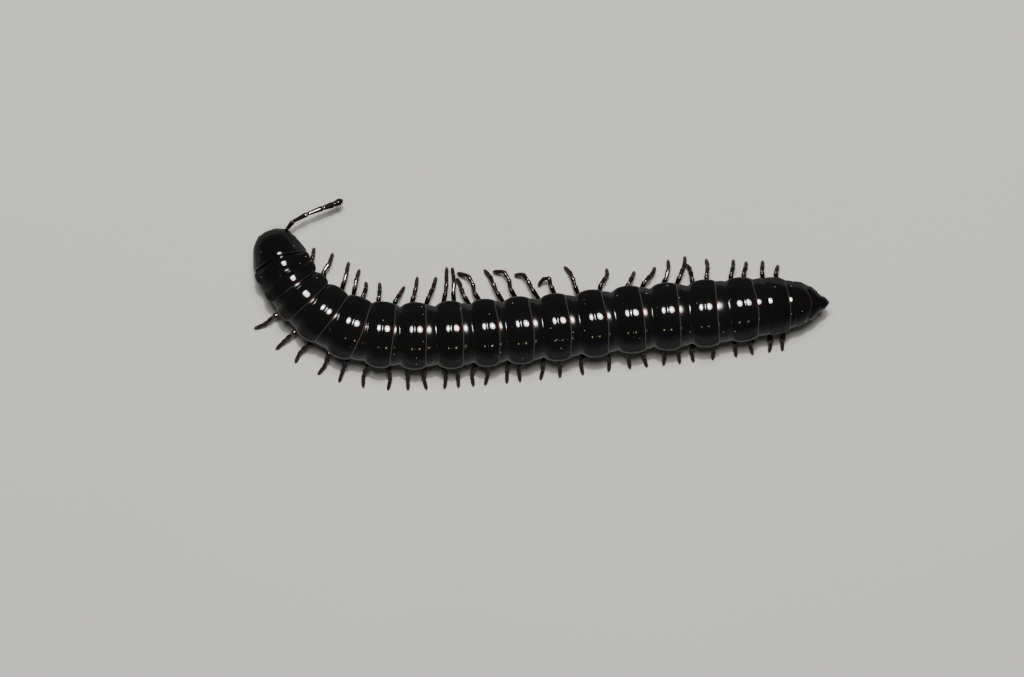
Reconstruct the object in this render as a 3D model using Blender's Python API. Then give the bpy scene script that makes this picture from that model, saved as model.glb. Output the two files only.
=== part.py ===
"""A black Notodesmus millipede, life size, walking with its front end curled to its right.

It is a flat-backed millipede. Its body is a row of hard rings strung on a back line that starts at
the collum's front margin and runs to the tail. Along that line, "tailward" is the way it runs,
"right" is the animal's right side and z is up from the floor. All sizes are in millimetres until
a mesh is made.
"""

import math

import bmesh
import bpy
from mathutils import Matrix, Vector

MM = 0.001
GAP = 0.3  # left between neighbouring pieces

# the back line: where the collum's front margin lies, the heading there, and each ring
COLLUM_FRONT = (-16.35, 3.86)
FRONT_HEADING = -73.0  # degrees from +X towards +Y, looking tailward
STEP = 0.02  # walking step along the line
LEAD = 1.0  # how far the line is carried on past both ends
RINGS = (
    # name, length, heading at the hind margin, width, top of the back, flat underside
    ("collum", 1.50, -69.0, 3.50, 4.50, 2.95),
    ("ring_02", 1.00, -61.0, 3.60, 4.60, 2.00),
    ("ring_03", 1.12, -52.5, 3.62, 4.66, 1.98),
    ("ring_04", 1.36, -42.0, 3.68, 4.72, 1.96),
    ("ring_05", 1.74, -28.5, 3.84, 4.80, 1.95),
    ("ring_06", 1.97, -13.5, 4.00, 4.86, 1.95),
    ("ring_07", 1.94, -2.0, 4.10, 4.90, 1.95),
    ("ring_08", 2.05, 1.5, 4.15, 4.90, 1.95),
    ("ring_09", 2.30, 3.3, 4.18, 4.90, 1.95),
    ("ring_10", 2.24, 4.3, 4.18, 4.90, 1.95),
    ("ring_11", 2.11, 4.6, 4.18, 4.90, 1.95),
    ("ring_12", 2.30, 5.8, 4.18, 4.90, 1.95),
    ("ring_13", 2.31, 6.5, 4.18, 4.90, 1.95),
    ("ring_14", 2.24, 4.6, 4.18, 4.90, 1.95),
    ("ring_15", 2.20, 4.4, 4.18, 4.90, 1.95),
    ("ring_16", 2.34, 6.2, 4.16, 4.88, 1.95),
    ("ring_17", 2.53, 6.4, 4.08, 4.80, 1.96),
    ("ring_18", 1.99, 3.6, 3.74, 4.58, 2.02),
    ("ring_19", 1.33, 1.5, 3.02, 4.22, 2.35),
    ("telson", 1.12, 1.5, 1.90, 3.85, 2.55),
)
# the last rings taper: share of the width, and of the back's height over the widest level, that is
# left at the hind margin
HIND_WIDTH = {"ring_17": 0.955, "ring_18": 0.87, "ring_19": 0.70}
HIND_TOP = {"ring_18": 0.96, "ring_19": 0.84}
TAPER_CURVE = 1.5  # exponent: the taper comes on slowly

# a ring's cross section and its profile from front to back
SIDES = 20
WIDEST_LEVEL = 0.47  # height of the widest level, as a share from underside to top
BACK_CURVE = 2.1  # exponent of the rounded back: 2 is an ellipse
BELLY_CURVE = 2.6  # and of the squarer belly
FLAT_ANGLE = 71.0  # the belly is flat beyond this many degrees below the horizontal
KEEL = 0.035  # how far the low side keel stands out, as a share of the half width
KEEL_POWER = 14  # how tightly it hugs the widest level
PROZONITE_SHARE = 0.30  # the narrower front part, as a share of the ring's length
PROZONITE_LEAST = 0.15  # and its least visible length
RING_PROFILE = (
    # place (0 to 1 on the prozonite, 1 to 2 on the metazonite), size, keel, rise of the belly
    (0.0, 0.865, 0.0, 0.14),
    (0.95, 0.890, 0.0, 0.0),
    (1.12, 0.955, 0.4, 0.0),
    (1.45, 0.985, 1.0, 0.0),
    (1.85, 1.0, 1.0, 0.0),
    (2.0, 0.965, 0.8, 0.0),
)
CONE_SLOPE = 0.42  # slope of the hollow hind face and of the front that sits in it
CONE_CLEAR = 0.26  # from a hind margin to the front rim of the next ring
NECK_CLEAR = 0.36  # and from the collum to the second ring, which meet flat

# legs
PLATE_WIDTH = 1.50
PLATE_LENGTH = 0.46
PLATE_THICK = 0.45
PLATE_TAPER = 0.8  # share of the width left at its lower face
SINGLE_HIP = 0.62  # place of a lone leg pair along its ring, as a share of the length
DOUBLE_HIPS = (0.36, 0.82)
LEG_SIDES = 6
HIP_OUT = 0.42  # from the middle line to the coxa's root
HIP_DROP = 0.34  # from the plate's top to the coxa's root
LEG_STATIONS = (
    # share of the leg's length, thickness
    (0.0, 0.50),
    (0.08, 0.50),
    (0.20, 0.52),
    (0.27, 0.44),
    (0.46, 0.52),
    (0.53, 0.42),
    (0.64, 0.46),
    (0.76, 0.40),
    (0.88, 0.32),
    (1.0, 0.20),
)
# a leg follows a cubic curve from its root to its claw, drawn by two inner corners
CURVE_STEPS = 40
THIGH_AHEAD = 0.30  # the first corner: share of the claw's reach ahead
THIGH_OUT = 0.25  # how far out, plus a share of the claw's reach out
THIGH_OUT_SHARE = 0.38
THIGH_LEVEL = 0.72
SHIN_AHEAD = 0.75  # the second corner: share of the reach ahead, from which the bend is taken
SHIN_OUT_SHARE = 0.95  # share of the reach out, plus a share of the bend
SHIN_BEND_SHARE = 0.25
SHIN_LEVEL = 2.55  # and its height over the claw
LIMB_SPAN = 0.02  # a limb's direction is taken over this share of its length to either side
# the right legs as they stand: for each pair, the claw's place ahead of the hip and out from the
# middle line, its height, and how far the shin swings tailward of a straight leg
RIGHT_STANCE = (
    (0.80, 1.45, 0.0, 0.00),
    (1.00, 1.68, 0.0, 0.00),
    (1.50, 2.40, 0.0, -0.10),
    (1.20, 3.15, 0.0, -0.15),
    (0.67, 3.30, 0.0, 0.00),
    (0.44, 3.25, 0.0, 0.00),
    (0.20, 2.80, 0.0, 0.00),
    (0.21, 2.90, 0.0, 0.00),
    (-0.72, 2.85, 0.0, 0.00),
    (-0.60, 3.38, 0.0, 0.00),
    (-0.80, 3.35, 0.0, 0.00),
    (-0.30, 3.95, 0.0, 0.00),
    (0.15, 4.15, 0.0, 0.00),
    (0.80, 3.10, 0.0, 0.00),
    (1.85, 3.75, 0.5, 0.55),
    (1.45, 3.60, 0.2, 0.25),
    (1.75, 3.55, 0.5, 0.60),
    (1.70, 3.25, 0.4, 0.50),
    (1.25, 2.75, 0.3, 0.55),
    (0.92, 3.70, 0.1, 0.15),
    (-0.71, 3.00, 0.0, -0.10),
    (-1.15, 2.75, 0.0, 0.00),
    (-1.40, 3.05, 0.0, -0.10),
    (-1.00, 3.20, 0.0, 0.00),
    (-0.80, 3.35, 0.0, 0.00),
    (-0.10, 2.85, 0.0, 0.00),
    (-0.17, 3.05, 0.0, 0.00),
    (-0.50, 2.85, 0.0, 0.00),
    (-0.17, 2.75, 0.0, 0.00),
    (0.01, 2.60, 0.0, 0.00),
    (0.05, 2.35, 0.0, 0.00),
)
LEFT_AHEAD = 0.10  # the left legs swing less: this plus a share of the right leg's swing
LEFT_SWING_SHARE = 0.35
LEFT_OUT_FRONT = 3.90  # how far out the left claws stand, at the front and at the last pair
LEFT_OUT_TAIL = 3.10
FOLDED_PAIRS = 2  # pairs that stay under the body on both sides

# head, in its own axes: forward of the collum's front margin, right, up
CRANIUM_MIDDLE = (-0.55, 0.0, 2.30)
CRANIUM_HALF = (0.90, 1.30, 1.20)
CHEEK_MIDDLE = (-0.45, 0.78, 1.95)
CHEEK_HALF = (0.62, 0.60, 0.72)
LIP_MIDDLE = (-0.02, 0.0, 1.45)
LIP_HALF = (0.30, 0.62, 0.36)
CHIN_MIDDLE = (-0.72, 0.0, 1.38)
CHIN_HALF = (0.55, 0.62, 0.28)
CRANIUM_FACETS = (24, 14)  # around and from pole to pole
CHEEK_FACETS = (12, 8)
SOCKET_MIDDLE = (0.05, 0.60, 2.52)
SOCKET_AIM = (0.66, 0.75, 0.10)
SOCKET_LENGTH = 0.36
SOCKET_WIDTH = 0.50
SOCKET_SIDES = 8
NECK_HALF = (0.80, 0.62)  # half width and half height of the neck behind the cranium
NECK_LEVEL = 2.45
NECK_FRONT = -0.80
NECK_SIDES = 12
THROAT_PAST = 0.6  # how far the room for the neck is cut on past the collum's hind margin

# collum: a shield over the head's back
COLLUM_EDGE = (
    # place along the back line, half width, top
    (-0.17, 0.30, 3.98),
    (-0.05, 0.62, 4.05),
    (0.12, 0.98, 4.14),
    (0.38, 1.28, 4.27),
    (0.75, 1.53, 4.40),
    (1.15, 1.72, 4.48),
    (1.50, 1.70, 4.48),
)
COLLUM_SIDES = 12

# antennae
ANTENNA_SIDES = 6
ROOT_LENGTH = 0.12  # straight start, in line with the socket
WAY_STEPS = 20  # fine steps between two points of an antenna's way
ANTENNA_STATIONS = (
    # share of the length, thickness: eight joints, thickest at the sixth
    (0.0, 0.36),
    (0.06, 0.44),
    (0.09, 0.40),
    (0.23, 0.50),
    (0.26, 0.44),
    (0.41, 0.50),
    (0.44, 0.44),
    (0.58, 0.52),
    (0.61, 0.44),
    (0.73, 0.54),
    (0.76, 0.46),
    (0.90, 0.56),
    (0.93, 0.46),
    (0.98, 0.38),
    (1.0, 0.24),
)
ANTENNA_REACH = (
    # the right antenna's way from its socket: forward, right, up
    (0.50, 1.60, 2.62),
    (0.54, 2.44, 2.60),
    (0.57, 3.35, 2.48),
    (0.68, 4.24, 2.25),
    (0.76, 4.89, 2.00),
)
ANTENNA_TUCK = (
    # the left antenna's way, down in front of the face and back under the chin: forward, left, up
    (0.66, 1.38, 2.25),
    (0.56, 1.56, 1.55),
    (0.16, 1.44, 0.86),
    (-0.46, 1.02, 0.50),
    (-1.20, 0.50, 0.42),
)

# telson
TELSON_PROFILE = (
    # place behind the last ring's hind margin, half width, top, underside
    (0.28, 0.90, 3.86, 2.62),
    (0.42, 0.84, 3.80, 2.62),
    (0.60, 0.62, 3.70, 2.72),
    (0.72, 0.46, 3.62, 2.98),
    (0.86, 0.42, 3.56, 3.06),
    (1.00, 0.34, 3.48, 3.08),
    (1.12, 0.16, 3.40, 3.16),
)
TELSON_SIDES = 16
VALVE_MIDDLE = (0.58, 0.27, 2.86)  # tailward, out, up
VALVE_HALF = (0.30, 0.30, 0.42)
SCALE_MIDDLE = (0.52, 0.0, 2.50)
SCALE_HALF = (0.26, 0.34, 0.16)
VALVE_FACETS = (10, 8)

# colour and roughness
CUTICLE = ((0.010, 0.010, 0.011, 1.0), 0.2)
LEG_CUTICLE = ((0.060, 0.020, 0.012, 1.0), 0.3)
ANTENNA_CUTICLE = ((0.022, 0.014, 0.011, 1.0), 0.5)
SHARP_ANGLE = 40.0  # edges that bend more than this are shaded sharp


def clear_scene():
    for thing in list(bpy.data.objects):
        bpy.data.objects.remove(thing, do_unlink=True)


def new_collection(name):
    collection = bpy.data.collections.new(name)
    bpy.context.scene.collection.children.link(collection)
    return collection


def ring_margins():
    """Place of every hind margin along the back line, after a 0 for the collum's front margin."""
    margins = [0.0]
    for ring in RINGS:
        margins.append(margins[-1] + ring[1])
    return margins


MARGINS = ring_margins()
HEADINGS = [FRONT_HEADING] + [ring[2] for ring in RINGS]


def heading_at(place):
    """Heading of the back line in radians, easing evenly from one margin to the next."""
    if place <= 0:
        return math.radians(HEADINGS[0])
    for i in range(len(RINGS)):
        if place <= MARGINS[i + 1]:
            share = (place - MARGINS[i]) / (MARGINS[i + 1] - MARGINS[i])
            return math.radians(HEADINGS[i] + share * (HEADINGS[i + 1] - HEADINGS[i]))
    return math.radians(HEADINGS[-1])


def walk_back_line():
    """Points of the back line every STEP, from LEAD before its start to LEAD past its end."""
    start = Vector(COLLUM_FRONT)
    first = heading_at(0)
    point = start - LEAD * Vector((math.cos(first), math.sin(first)))
    place = -LEAD
    line = [point.copy()]
    while place < MARGINS[-1] + LEAD:
        middle = heading_at(place + STEP / 2)
        point = point + STEP * Vector((math.cos(middle), math.sin(middle)))
        line.append(point.copy())
        place += STEP
    return line


BACK_LINE = walk_back_line()


def body_frame(place):
    """Point of the back line, and the tailward and right directions there."""
    where = (place + LEAD) / STEP
    low = int(where)
    point = BACK_LINE[low].lerp(BACK_LINE[low + 1], where - low)
    turn = heading_at(place)
    tailward = Vector((math.cos(turn), math.sin(turn), 0))
    right = Vector((-math.sin(turn), math.cos(turn), 0))
    return Vector((point.x, point.y, 0)), tailward, right


def at(place, right, up):
    """World point in metres for a place along the back line, a distance to the right and a height."""
    point, _, aside = body_frame(place)
    return (point + right * aside + Vector((0, 0, up))) * MM


def signed_power(value, power):
    return math.copysign(abs(value) ** power, value)


def section(half_width, top, under, sides, keel=0.0, flat=True):
    """Closed outline of a body section: rounded back, squarer belly with a flat strip, low side keels."""
    level = under + WIDEST_LEVEL * (top - under)
    outline = []
    for i in range(sides):
        angle = 2 * math.pi * i / sides
        curve = BACK_CURVE if math.sin(angle) >= 0 else BELLY_CURVE
        across = half_width * signed_power(math.cos(angle), 2 / curve)
        across *= 1 + KEEL * keel * abs(math.cos(angle)) ** KEEL_POWER
        rise = top - level if math.sin(angle) >= 0 else level - under
        up = level + rise * signed_power(math.sin(angle), 2 / curve)
        if flat and math.sin(angle) < -math.sin(math.radians(FLAT_ANGLE)):
            up = under
        outline.append((across, up))
    return outline


def loft(name, loops, front_tip=None, hind_tip=None):
    """Mesh object through closed loops of points, closed by flat ends or by fans to a tip."""
    form = bmesh.new()
    rows = [[form.verts.new(point) for point in loop] for loop in loops]
    count = len(rows[0])
    for first, second in zip(rows, rows[1:]):
        for i in range(count):
            j = (i + 1) % count
            form.faces.new((first[i], first[j], second[j], second[i]))
    for row, tip in ((rows[0], front_tip), (rows[-1], hind_tip)):
        if tip is None:
            form.faces.new(row)
            continue
        point = form.verts.new(tip)
        for i in range(count):
            form.faces.new((row[i], row[(i + 1) % count], point))
    bmesh.ops.recalc_face_normals(form, faces=form.faces)
    return mesh_object(name, form)


def mesh_object(name, form):
    """Turns a bmesh form into an object of the scene."""
    mesh = bpy.data.meshes.new(name)
    form.to_mesh(mesh)
    form.free()
    thing = bpy.data.objects.new(name, mesh)
    bpy.context.scene.collection.objects.link(thing)
    return thing


def ball(name, middle, half, facets):
    """An ellipsoid in millimetres, from a UV sphere."""
    form = bmesh.new()
    bmesh.ops.create_uvsphere(form, u_segments=facets[0], v_segments=facets[1], radius=1.0)
    bmesh.ops.scale(form, vec=half, verts=form.verts)
    bmesh.ops.translate(form, vec=middle, verts=form.verts)
    return mesh_object(name, form)


def box(name, low, high):
    """A box between two corners, in millimetres."""
    form = bmesh.new()
    bmesh.ops.create_cube(form, size=1.0)
    size = [h - l for l, h in zip(low, high)]
    middle = [(h + l) / 2 for l, h in zip(low, high)]
    bmesh.ops.scale(form, vec=size, verts=form.verts)
    bmesh.ops.translate(form, vec=middle, verts=form.verts)
    return mesh_object(name, form)


def rod(name, base, aim, length, width, sides):
    """A round rod from a base point along a direction, in millimetres."""
    form = bmesh.new()
    bmesh.ops.create_cone(
        form, cap_ends=True, segments=sides, radius1=width / 2, radius2=width / 2, depth=length
    )
    turn = Vector((0, 0, 1)).rotation_difference(Vector(aim).normalized()).to_matrix().to_4x4()
    middle = Vector(base) + Vector(aim).normalized() * length / 2
    bmesh.ops.transform(form, matrix=Matrix.Translation(middle) @ turn, verts=form.verts)
    return mesh_object(name, form)


def place_in_body(thing, place, forward=-1.0):
    """Moves a mesh from local millimetres (forward or tailward, right, up) to its place on the body."""
    point, tailward, right = body_frame(place)
    for vertex in thing.data.vertices:
        local = vertex.co.copy()
        spot = point + tailward * (local.x * forward) + right * local.y + Vector((0, 0, local.z))
        vertex.co = spot * MM
    outward_faces(thing)


def outward_faces(thing):
    form = bmesh.new()
    form.from_mesh(thing.data)
    bmesh.ops.recalc_face_normals(form, faces=form.faces)
    form.to_mesh(thing.data)
    form.free()


def apply_boolean(body, pieces, operation):
    """Joins the pieces to a body, or cuts them from it, and removes them."""
    group = new_collection("pieces")
    for piece in pieces:
        for owner in list(piece.users_collection):
            owner.objects.unlink(piece)
        group.objects.link(piece)
    change = body.modifiers.new("change", "BOOLEAN")
    change.operation = operation
    change.operand_type = "COLLECTION"
    change.collection = group
    change.solver = "EXACT"
    bpy.context.view_layer.update()
    seen = body.evaluated_get(bpy.context.evaluated_depsgraph_get())
    result = bpy.data.meshes.new_from_object(seen)
    body.modifiers.clear()
    body.data = result
    for piece in pieces:
        bpy.data.objects.remove(piece, do_unlink=True)
    bpy.data.collections.remove(group)
    keep_largest(body)


def keep_largest(body):
    """Keeps the largest closed surface of a body and welds its shared corners."""
    form = bmesh.new()
    form.from_mesh(body.data)
    bmesh.ops.remove_doubles(form, verts=form.verts, dist=1e-7)
    left = set(form.faces)
    shells = []
    while left:
        shell = {left.pop()}
        edge_faces = list(shell)
        while edge_faces:
            face = edge_faces.pop()
            for edge in face.edges:
                for other in edge.link_faces:
                    if other in left:
                        left.remove(other)
                        shell.add(other)
                        edge_faces.append(other)
        shells.append(shell)
    shells.sort(key=lambda shell: sum(face.calc_area() for face in shell))
    loose = [face for shell in shells[:-1] for face in shell]
    bmesh.ops.delete(form, geom=loose, context="FACES")
    bmesh.ops.recalc_face_normals(form, faces=form.faces)
    form.to_mesh(body.data)
    form.free()


def ring_index(name):
    return [ring[0] for ring in RINGS].index(name)


def build_ring(name):
    """One body ring: narrow prozonite, waist, wider metazonite, domed front and hollow hind face."""
    index = ring_index(name)
    _, length, _, width, top, under = RINGS[index]
    front = MARGINS[index] + (NECK_CLEAR if name == "ring_02" else CONE_CLEAR)
    hind = MARGINS[index + 1]
    waist = MARGINS[index] + max(PROZONITE_SHARE * length, CONE_CLEAR + PROZONITE_LEAST)
    level = under + WIDEST_LEVEL * (top - under)
    hind_width = HIND_WIDTH.get(name, 1.0)
    hind_top = HIND_TOP.get(name, 1.0)
    loops = []
    for step, size, keel, rise in RING_PROFILE:
        if step < 1:
            place = front + step * (waist - front)
        else:
            place = waist + (step - 1) * (hind - waist)
        share = (place - front) / (hind - front)
        taper = share**TAPER_CURVE
        half = width / 2 * size * (1 + (hind_width - 1) * taper)
        peak = level + (top - level) * size * (1 + (hind_top - 1) * taper)
        outline = section(half, peak, under + rise, SIDES, keel)
        loops.append([at(place, across, up) for across, up in outline])
    middle = (top + under) / 2
    front_half = width / 2 * RING_PROFILE[0][1]
    front_tip = None
    if name != "ring_02":
        front_tip = at(front - CONE_SLOPE * front_half, 0, middle)
    hind_half = width / 2 * RING_PROFILE[-1][1] * hind_width
    hind_tip = at(hind - CONE_SLOPE * hind_half, 0, middle)
    return loft(name, loops, front_tip, hind_tip)


def build_collum():
    """The collum: a saddle that narrows forward, hollowed beneath for the back of the head."""
    under = RINGS[0][5]
    loops = []
    for place, half, top in COLLUM_EDGE:
        outline = []
        for i in range(COLLUM_SIDES + 1):
            angle = math.pi * i / COLLUM_SIDES
            across = half * signed_power(math.cos(angle), 2 / BACK_CURVE)
            up = under + (top - under) * math.sin(angle) ** (2 / BACK_CURVE)
            outline.append(at(place, across, up))
        loops.append(outline)
    collum = loft("collum", loops)
    hollow = ball("hollow", CRANIUM_MIDDLE, [size + GAP for size in CRANIUM_HALF], CRANIUM_FACETS)
    place_in_body(hollow, 0.0)
    throat = neck("throat", GAP, THROAT_PAST)
    apply_boolean(collum, [hollow, throat], "DIFFERENCE")
    return collum


def neck(name, spare, past):
    """The neck between head and second ring, made thicker by a spare amount for cutting room round it."""
    half_width = NECK_HALF[0] + spare
    half_height = NECK_HALF[1] + spare
    length = RINGS[0][1] + NECK_FRONT + past
    body = rod(name, (0, 0, 0), (0, 0, 1), length, 2, NECK_SIDES)
    for vertex in body.data.vertices:
        forward = NECK_FRONT - vertex.co.z
        vertex.co = Vector((forward, vertex.co.x * half_width, NECK_LEVEL + vertex.co.y * half_height))
    place_in_body(body, 0.0)
    return body


def build_head():
    """Rounded cranium with cheeks, lip, chin, two antenna sockets and a flat-ended neck."""
    head = ball("head", CRANIUM_MIDDLE, CRANIUM_HALF, CRANIUM_FACETS)
    place_in_body(head, 0.0)
    pieces = [
        ball("lip", LIP_MIDDLE, LIP_HALF, CHEEK_FACETS),
        ball("chin", CHIN_MIDDLE, CHIN_HALF, CHEEK_FACETS),
    ]
    for side in (-1, 1):
        middle = (CHEEK_MIDDLE[0], side * CHEEK_MIDDLE[1], CHEEK_MIDDLE[2])
        pieces.append(ball("cheek", middle, CHEEK_HALF, CHEEK_FACETS))
        base = (SOCKET_MIDDLE[0], side * SOCKET_MIDDLE[1], SOCKET_MIDDLE[2])
        aim = (SOCKET_AIM[0], side * SOCKET_AIM[1], SOCKET_AIM[2])
        pieces.append(rod("socket", base, aim, SOCKET_LENGTH, SOCKET_WIDTH, SOCKET_SIDES))
    for piece in pieces:
        place_in_body(piece, 0.0)
    pieces.append(neck("nape", 0.0, 0.0))
    apply_boolean(head, pieces, "UNION")
    return head


def smooth_way(points):
    """Fine points along a smooth curve through the given ones."""
    ends = [points[0] * 2 - points[1]] + points + [points[-1] * 2 - points[-2]]
    fine = []
    for i in range(1, len(ends) - 2):
        before, start, end, after = ends[i - 1 : i + 3]
        for k in range(WAY_STEPS):
            t = k / WAY_STEPS
            fine.append(
                0.5
                * (
                    2 * start
                    + (end - before) * t
                    + (2 * before - 5 * start + 4 * end - after) * t**2
                    + (3 * start - before - 3 * end + after) * t**3
                )
            )
    fine.append(points[-1].copy())
    return fine


def spread(fine, shares):
    """Points at given shares of a fine polyline's length."""
    reach = [0.0]
    for first, second in zip(fine, fine[1:]):
        reach.append(reach[-1] + (second - first).length)
    result = []
    for share in shares:
        want = share * reach[-1]
        i = max(k for k in range(len(reach) - 1) if reach[k] <= want + 1e-12)
        step = reach[i + 1] - reach[i]
        result.append(fine[i].lerp(fine[i + 1], (want - reach[i]) / step))
    return result


def limb(name, fine, stations, sides, last_level=False):
    """A jointed limb: sections of given thickness at shares of a path, the last one level or not."""
    shares = [share for share, _ in stations]
    middles = spread(fine, shares)
    ahead = spread(fine, [min(1.0, share + LIMB_SPAN) for share in shares])
    behind = spread(fine, [max(0.0, share - LIMB_SPAN) for share in shares])
    across = (ahead[1] - behind[1]).cross(Vector((0, 0, 1))).normalized()
    loops = []
    for k, (_, thick) in enumerate(stations):
        along = (ahead[k] - behind[k]).normalized()
        if last_level and k == len(stations) - 1:
            along = Vector((0, 0, -1))
        across = (across - along * across.dot(along)).normalized()
        other = along.cross(across)
        loop = []
        for i in range(sides):
            angle = 2 * math.pi * (i + 0.5) / sides
            offset = across * math.cos(angle) + other * math.sin(angle)
            loop.append((middles[k] + offset * thick / 2) * MM)
        loops.append(loop)
    return loft(name, loops)


def leg_line(hip_place, side, ahead, out, lift, bend, root_level):
    """Fine points of one leg's middle line, from its root in the plate to its claw."""
    point, tailward, right = body_frame(hip_place)
    corners = (
        (0.0, HIP_OUT, root_level),
        (THIGH_AHEAD * ahead, THIGH_OUT + THIGH_OUT_SHARE * out, THIGH_LEVEL),
        (SHIN_AHEAD * ahead - bend, SHIN_OUT_SHARE * out + SHIN_BEND_SHARE * bend, SHIN_LEVEL + lift),
        (ahead, out, lift),
    )
    world = [point - tailward * a + right * (side * o) + Vector((0, 0, z)) for a, o, z in corners]
    fine = []
    for k in range(CURVE_STEPS + 1):
        t = k / CURVE_STEPS
        weights = ((1 - t) ** 3, 3 * t * (1 - t) ** 2, 3 * t**2 * (1 - t), t**3)
        fine.append(sum((w * c for w, c in zip(weights, world)), Vector((0, 0, 0))))
    return fine


def hips():
    """For each leg pair, its ring's name and its place along the back line."""
    places = []
    for index, ring in enumerate(RINGS[1:18], start=1):
        shares = (SINGLE_HIP,) if index <= 3 else DOUBLE_HIPS
        for share in shares:
            places.append((ring[0], MARGINS[index] + share * ring[1]))
    return places


def stance(pair, side):
    """Claw ahead of the hip, out from the middle line, its height and the shin's bend."""
    ahead, out, lift, bend = RIGHT_STANCE[pair]
    if side > 0 or pair < FOLDED_PAIRS:
        return ahead, out, lift, bend
    share = pair / (len(RIGHT_STANCE) - 1)
    out = LEFT_OUT_FRONT + share * (LEFT_OUT_TAIL - LEFT_OUT_FRONT)
    return LEFT_AHEAD + LEFT_SWING_SHARE * ahead, out, 0.0, 0.0


def build_leg_pair(pair, ring_name, place):
    """A belly plate with its right and left leg, under one ring's flat underside."""
    under = RINGS[ring_index(ring_name)][5]
    top = under - GAP
    plate = box(
        f"leg_pair_{pair + 1:02d}",
        (-PLATE_LENGTH / 2, -PLATE_WIDTH / 2, top - PLATE_THICK),
        (PLATE_LENGTH / 2, PLATE_WIDTH / 2, top),
    )
    for vertex in plate.data.vertices:
        if vertex.co.z < top - PLATE_THICK / 2:
            vertex.co.y *= PLATE_TAPER
    place_in_body(plate, place)
    legs = []
    for side in (-1, 1):
        line = leg_line(place, side, *stance(pair, side), top - HIP_DROP)
        legs.append(limb("leg", line, LEG_STATIONS, LEG_SIDES, last_level=True))
    apply_boolean(plate, legs, "UNION")
    return plate


def build_antenna(name, side, way):
    """One antenna from just outside its socket: a club-shaped feeler of eight joints."""
    point, tailward, right = body_frame(0.0)
    base = Vector((SOCKET_MIDDLE[0], side * SOCKET_MIDDLE[1], SOCKET_MIDDLE[2]))
    aim = Vector((SOCKET_AIM[0], side * SOCKET_AIM[1], SOCKET_AIM[2])).normalized()
    start = base + aim * (SOCKET_LENGTH + GAP)
    local = [start, start + aim * ROOT_LENGTH] + [Vector((f, side * out, up)) for f, out, up in way]
    world = [point - tailward * p.x + right * p.y + Vector((0, 0, p.z)) for p in local]
    return limb(name, smooth_way(world), ANTENNA_STATIONS, ANTENNA_SIDES)


def build_telson():
    """Last ring: a short ring with a blunt tail spike, two valves and a scale below."""
    start = MARGINS[-2]
    loops = []
    for place, half, top, under in TELSON_PROFILE:
        outline = section(half, top, under, TELSON_SIDES, flat=False)
        loops.append([at(start + place, across, up) for across, up in outline])
    first_place, first_half, first_top, first_under = TELSON_PROFILE[0]
    tip = at(start + first_place - CONE_SLOPE * first_half, 0, (first_top + first_under) / 2)
    telson = loft("telson", loops, front_tip=tip)
    pieces = []
    for side in (-1, 1):
        middle = (VALVE_MIDDLE[0], side * VALVE_MIDDLE[1], VALVE_MIDDLE[2])
        pieces.append(ball("valve", middle, VALVE_HALF, VALVE_FACETS))
    pieces.append(ball("scale", SCALE_MIDDLE, SCALE_HALF, VALVE_FACETS))
    for piece in pieces:
        place_in_body(piece, start, forward=1.0)
    apply_boolean(telson, pieces, "UNION")
    return telson


def finish(thing, look, collection):
    """Gives a piece its own material, smooth shading and its place in the model's collection."""
    material = bpy.data.materials.new(thing.name)
    material.use_nodes = True
    shader = material.node_tree.nodes["Principled BSDF"]
    shader.inputs["Base Color"].default_value = look[0]
    shader.inputs["Roughness"].default_value = look[1]
    shader.inputs["Metallic"].default_value = 0.0
    thing.data.materials.clear()
    thing.data.materials.append(material)
    thing.data.shade_smooth()
    thing.data.set_sharp_from_angle(angle=math.radians(SHARP_ANGLE))
    for owner in list(thing.users_collection):
        owner.objects.unlink(thing)
    collection.objects.link(thing)


def main():
    clear_scene()
    millipede = new_collection("notodesmus")
    finish(build_head(), CUTICLE, millipede)
    finish(build_collum(), CUTICLE, millipede)
    for ring in RINGS[1:-1]:
        finish(build_ring(ring[0]), CUTICLE, millipede)
    finish(build_telson(), CUTICLE, millipede)
    finish(build_antenna("antenna_right", 1, ANTENNA_REACH), ANTENNA_CUTICLE, millipede)
    finish(build_antenna("antenna_left", -1, ANTENNA_TUCK), ANTENNA_CUTICLE, millipede)
    for pair, (ring_name, place) in enumerate(hips()):
        finish(build_leg_pair(pair, ring_name, place), LEG_CUTICLE, millipede)


main()
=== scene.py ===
import math
import random

import bmesh
import bpy
from mathutils import Matrix, Vector


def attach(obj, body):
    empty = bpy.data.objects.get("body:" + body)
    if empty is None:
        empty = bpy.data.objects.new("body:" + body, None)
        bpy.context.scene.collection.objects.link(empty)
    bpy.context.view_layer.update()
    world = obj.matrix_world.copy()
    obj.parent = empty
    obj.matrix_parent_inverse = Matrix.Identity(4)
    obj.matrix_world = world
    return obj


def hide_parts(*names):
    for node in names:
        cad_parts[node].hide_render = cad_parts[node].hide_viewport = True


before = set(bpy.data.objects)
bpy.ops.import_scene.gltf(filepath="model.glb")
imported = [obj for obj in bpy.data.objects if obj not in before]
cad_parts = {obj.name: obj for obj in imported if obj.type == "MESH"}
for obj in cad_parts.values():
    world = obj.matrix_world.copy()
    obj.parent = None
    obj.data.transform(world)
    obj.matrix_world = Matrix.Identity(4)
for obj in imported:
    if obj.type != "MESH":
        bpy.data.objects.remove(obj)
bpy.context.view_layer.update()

MM = 0.001

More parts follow.
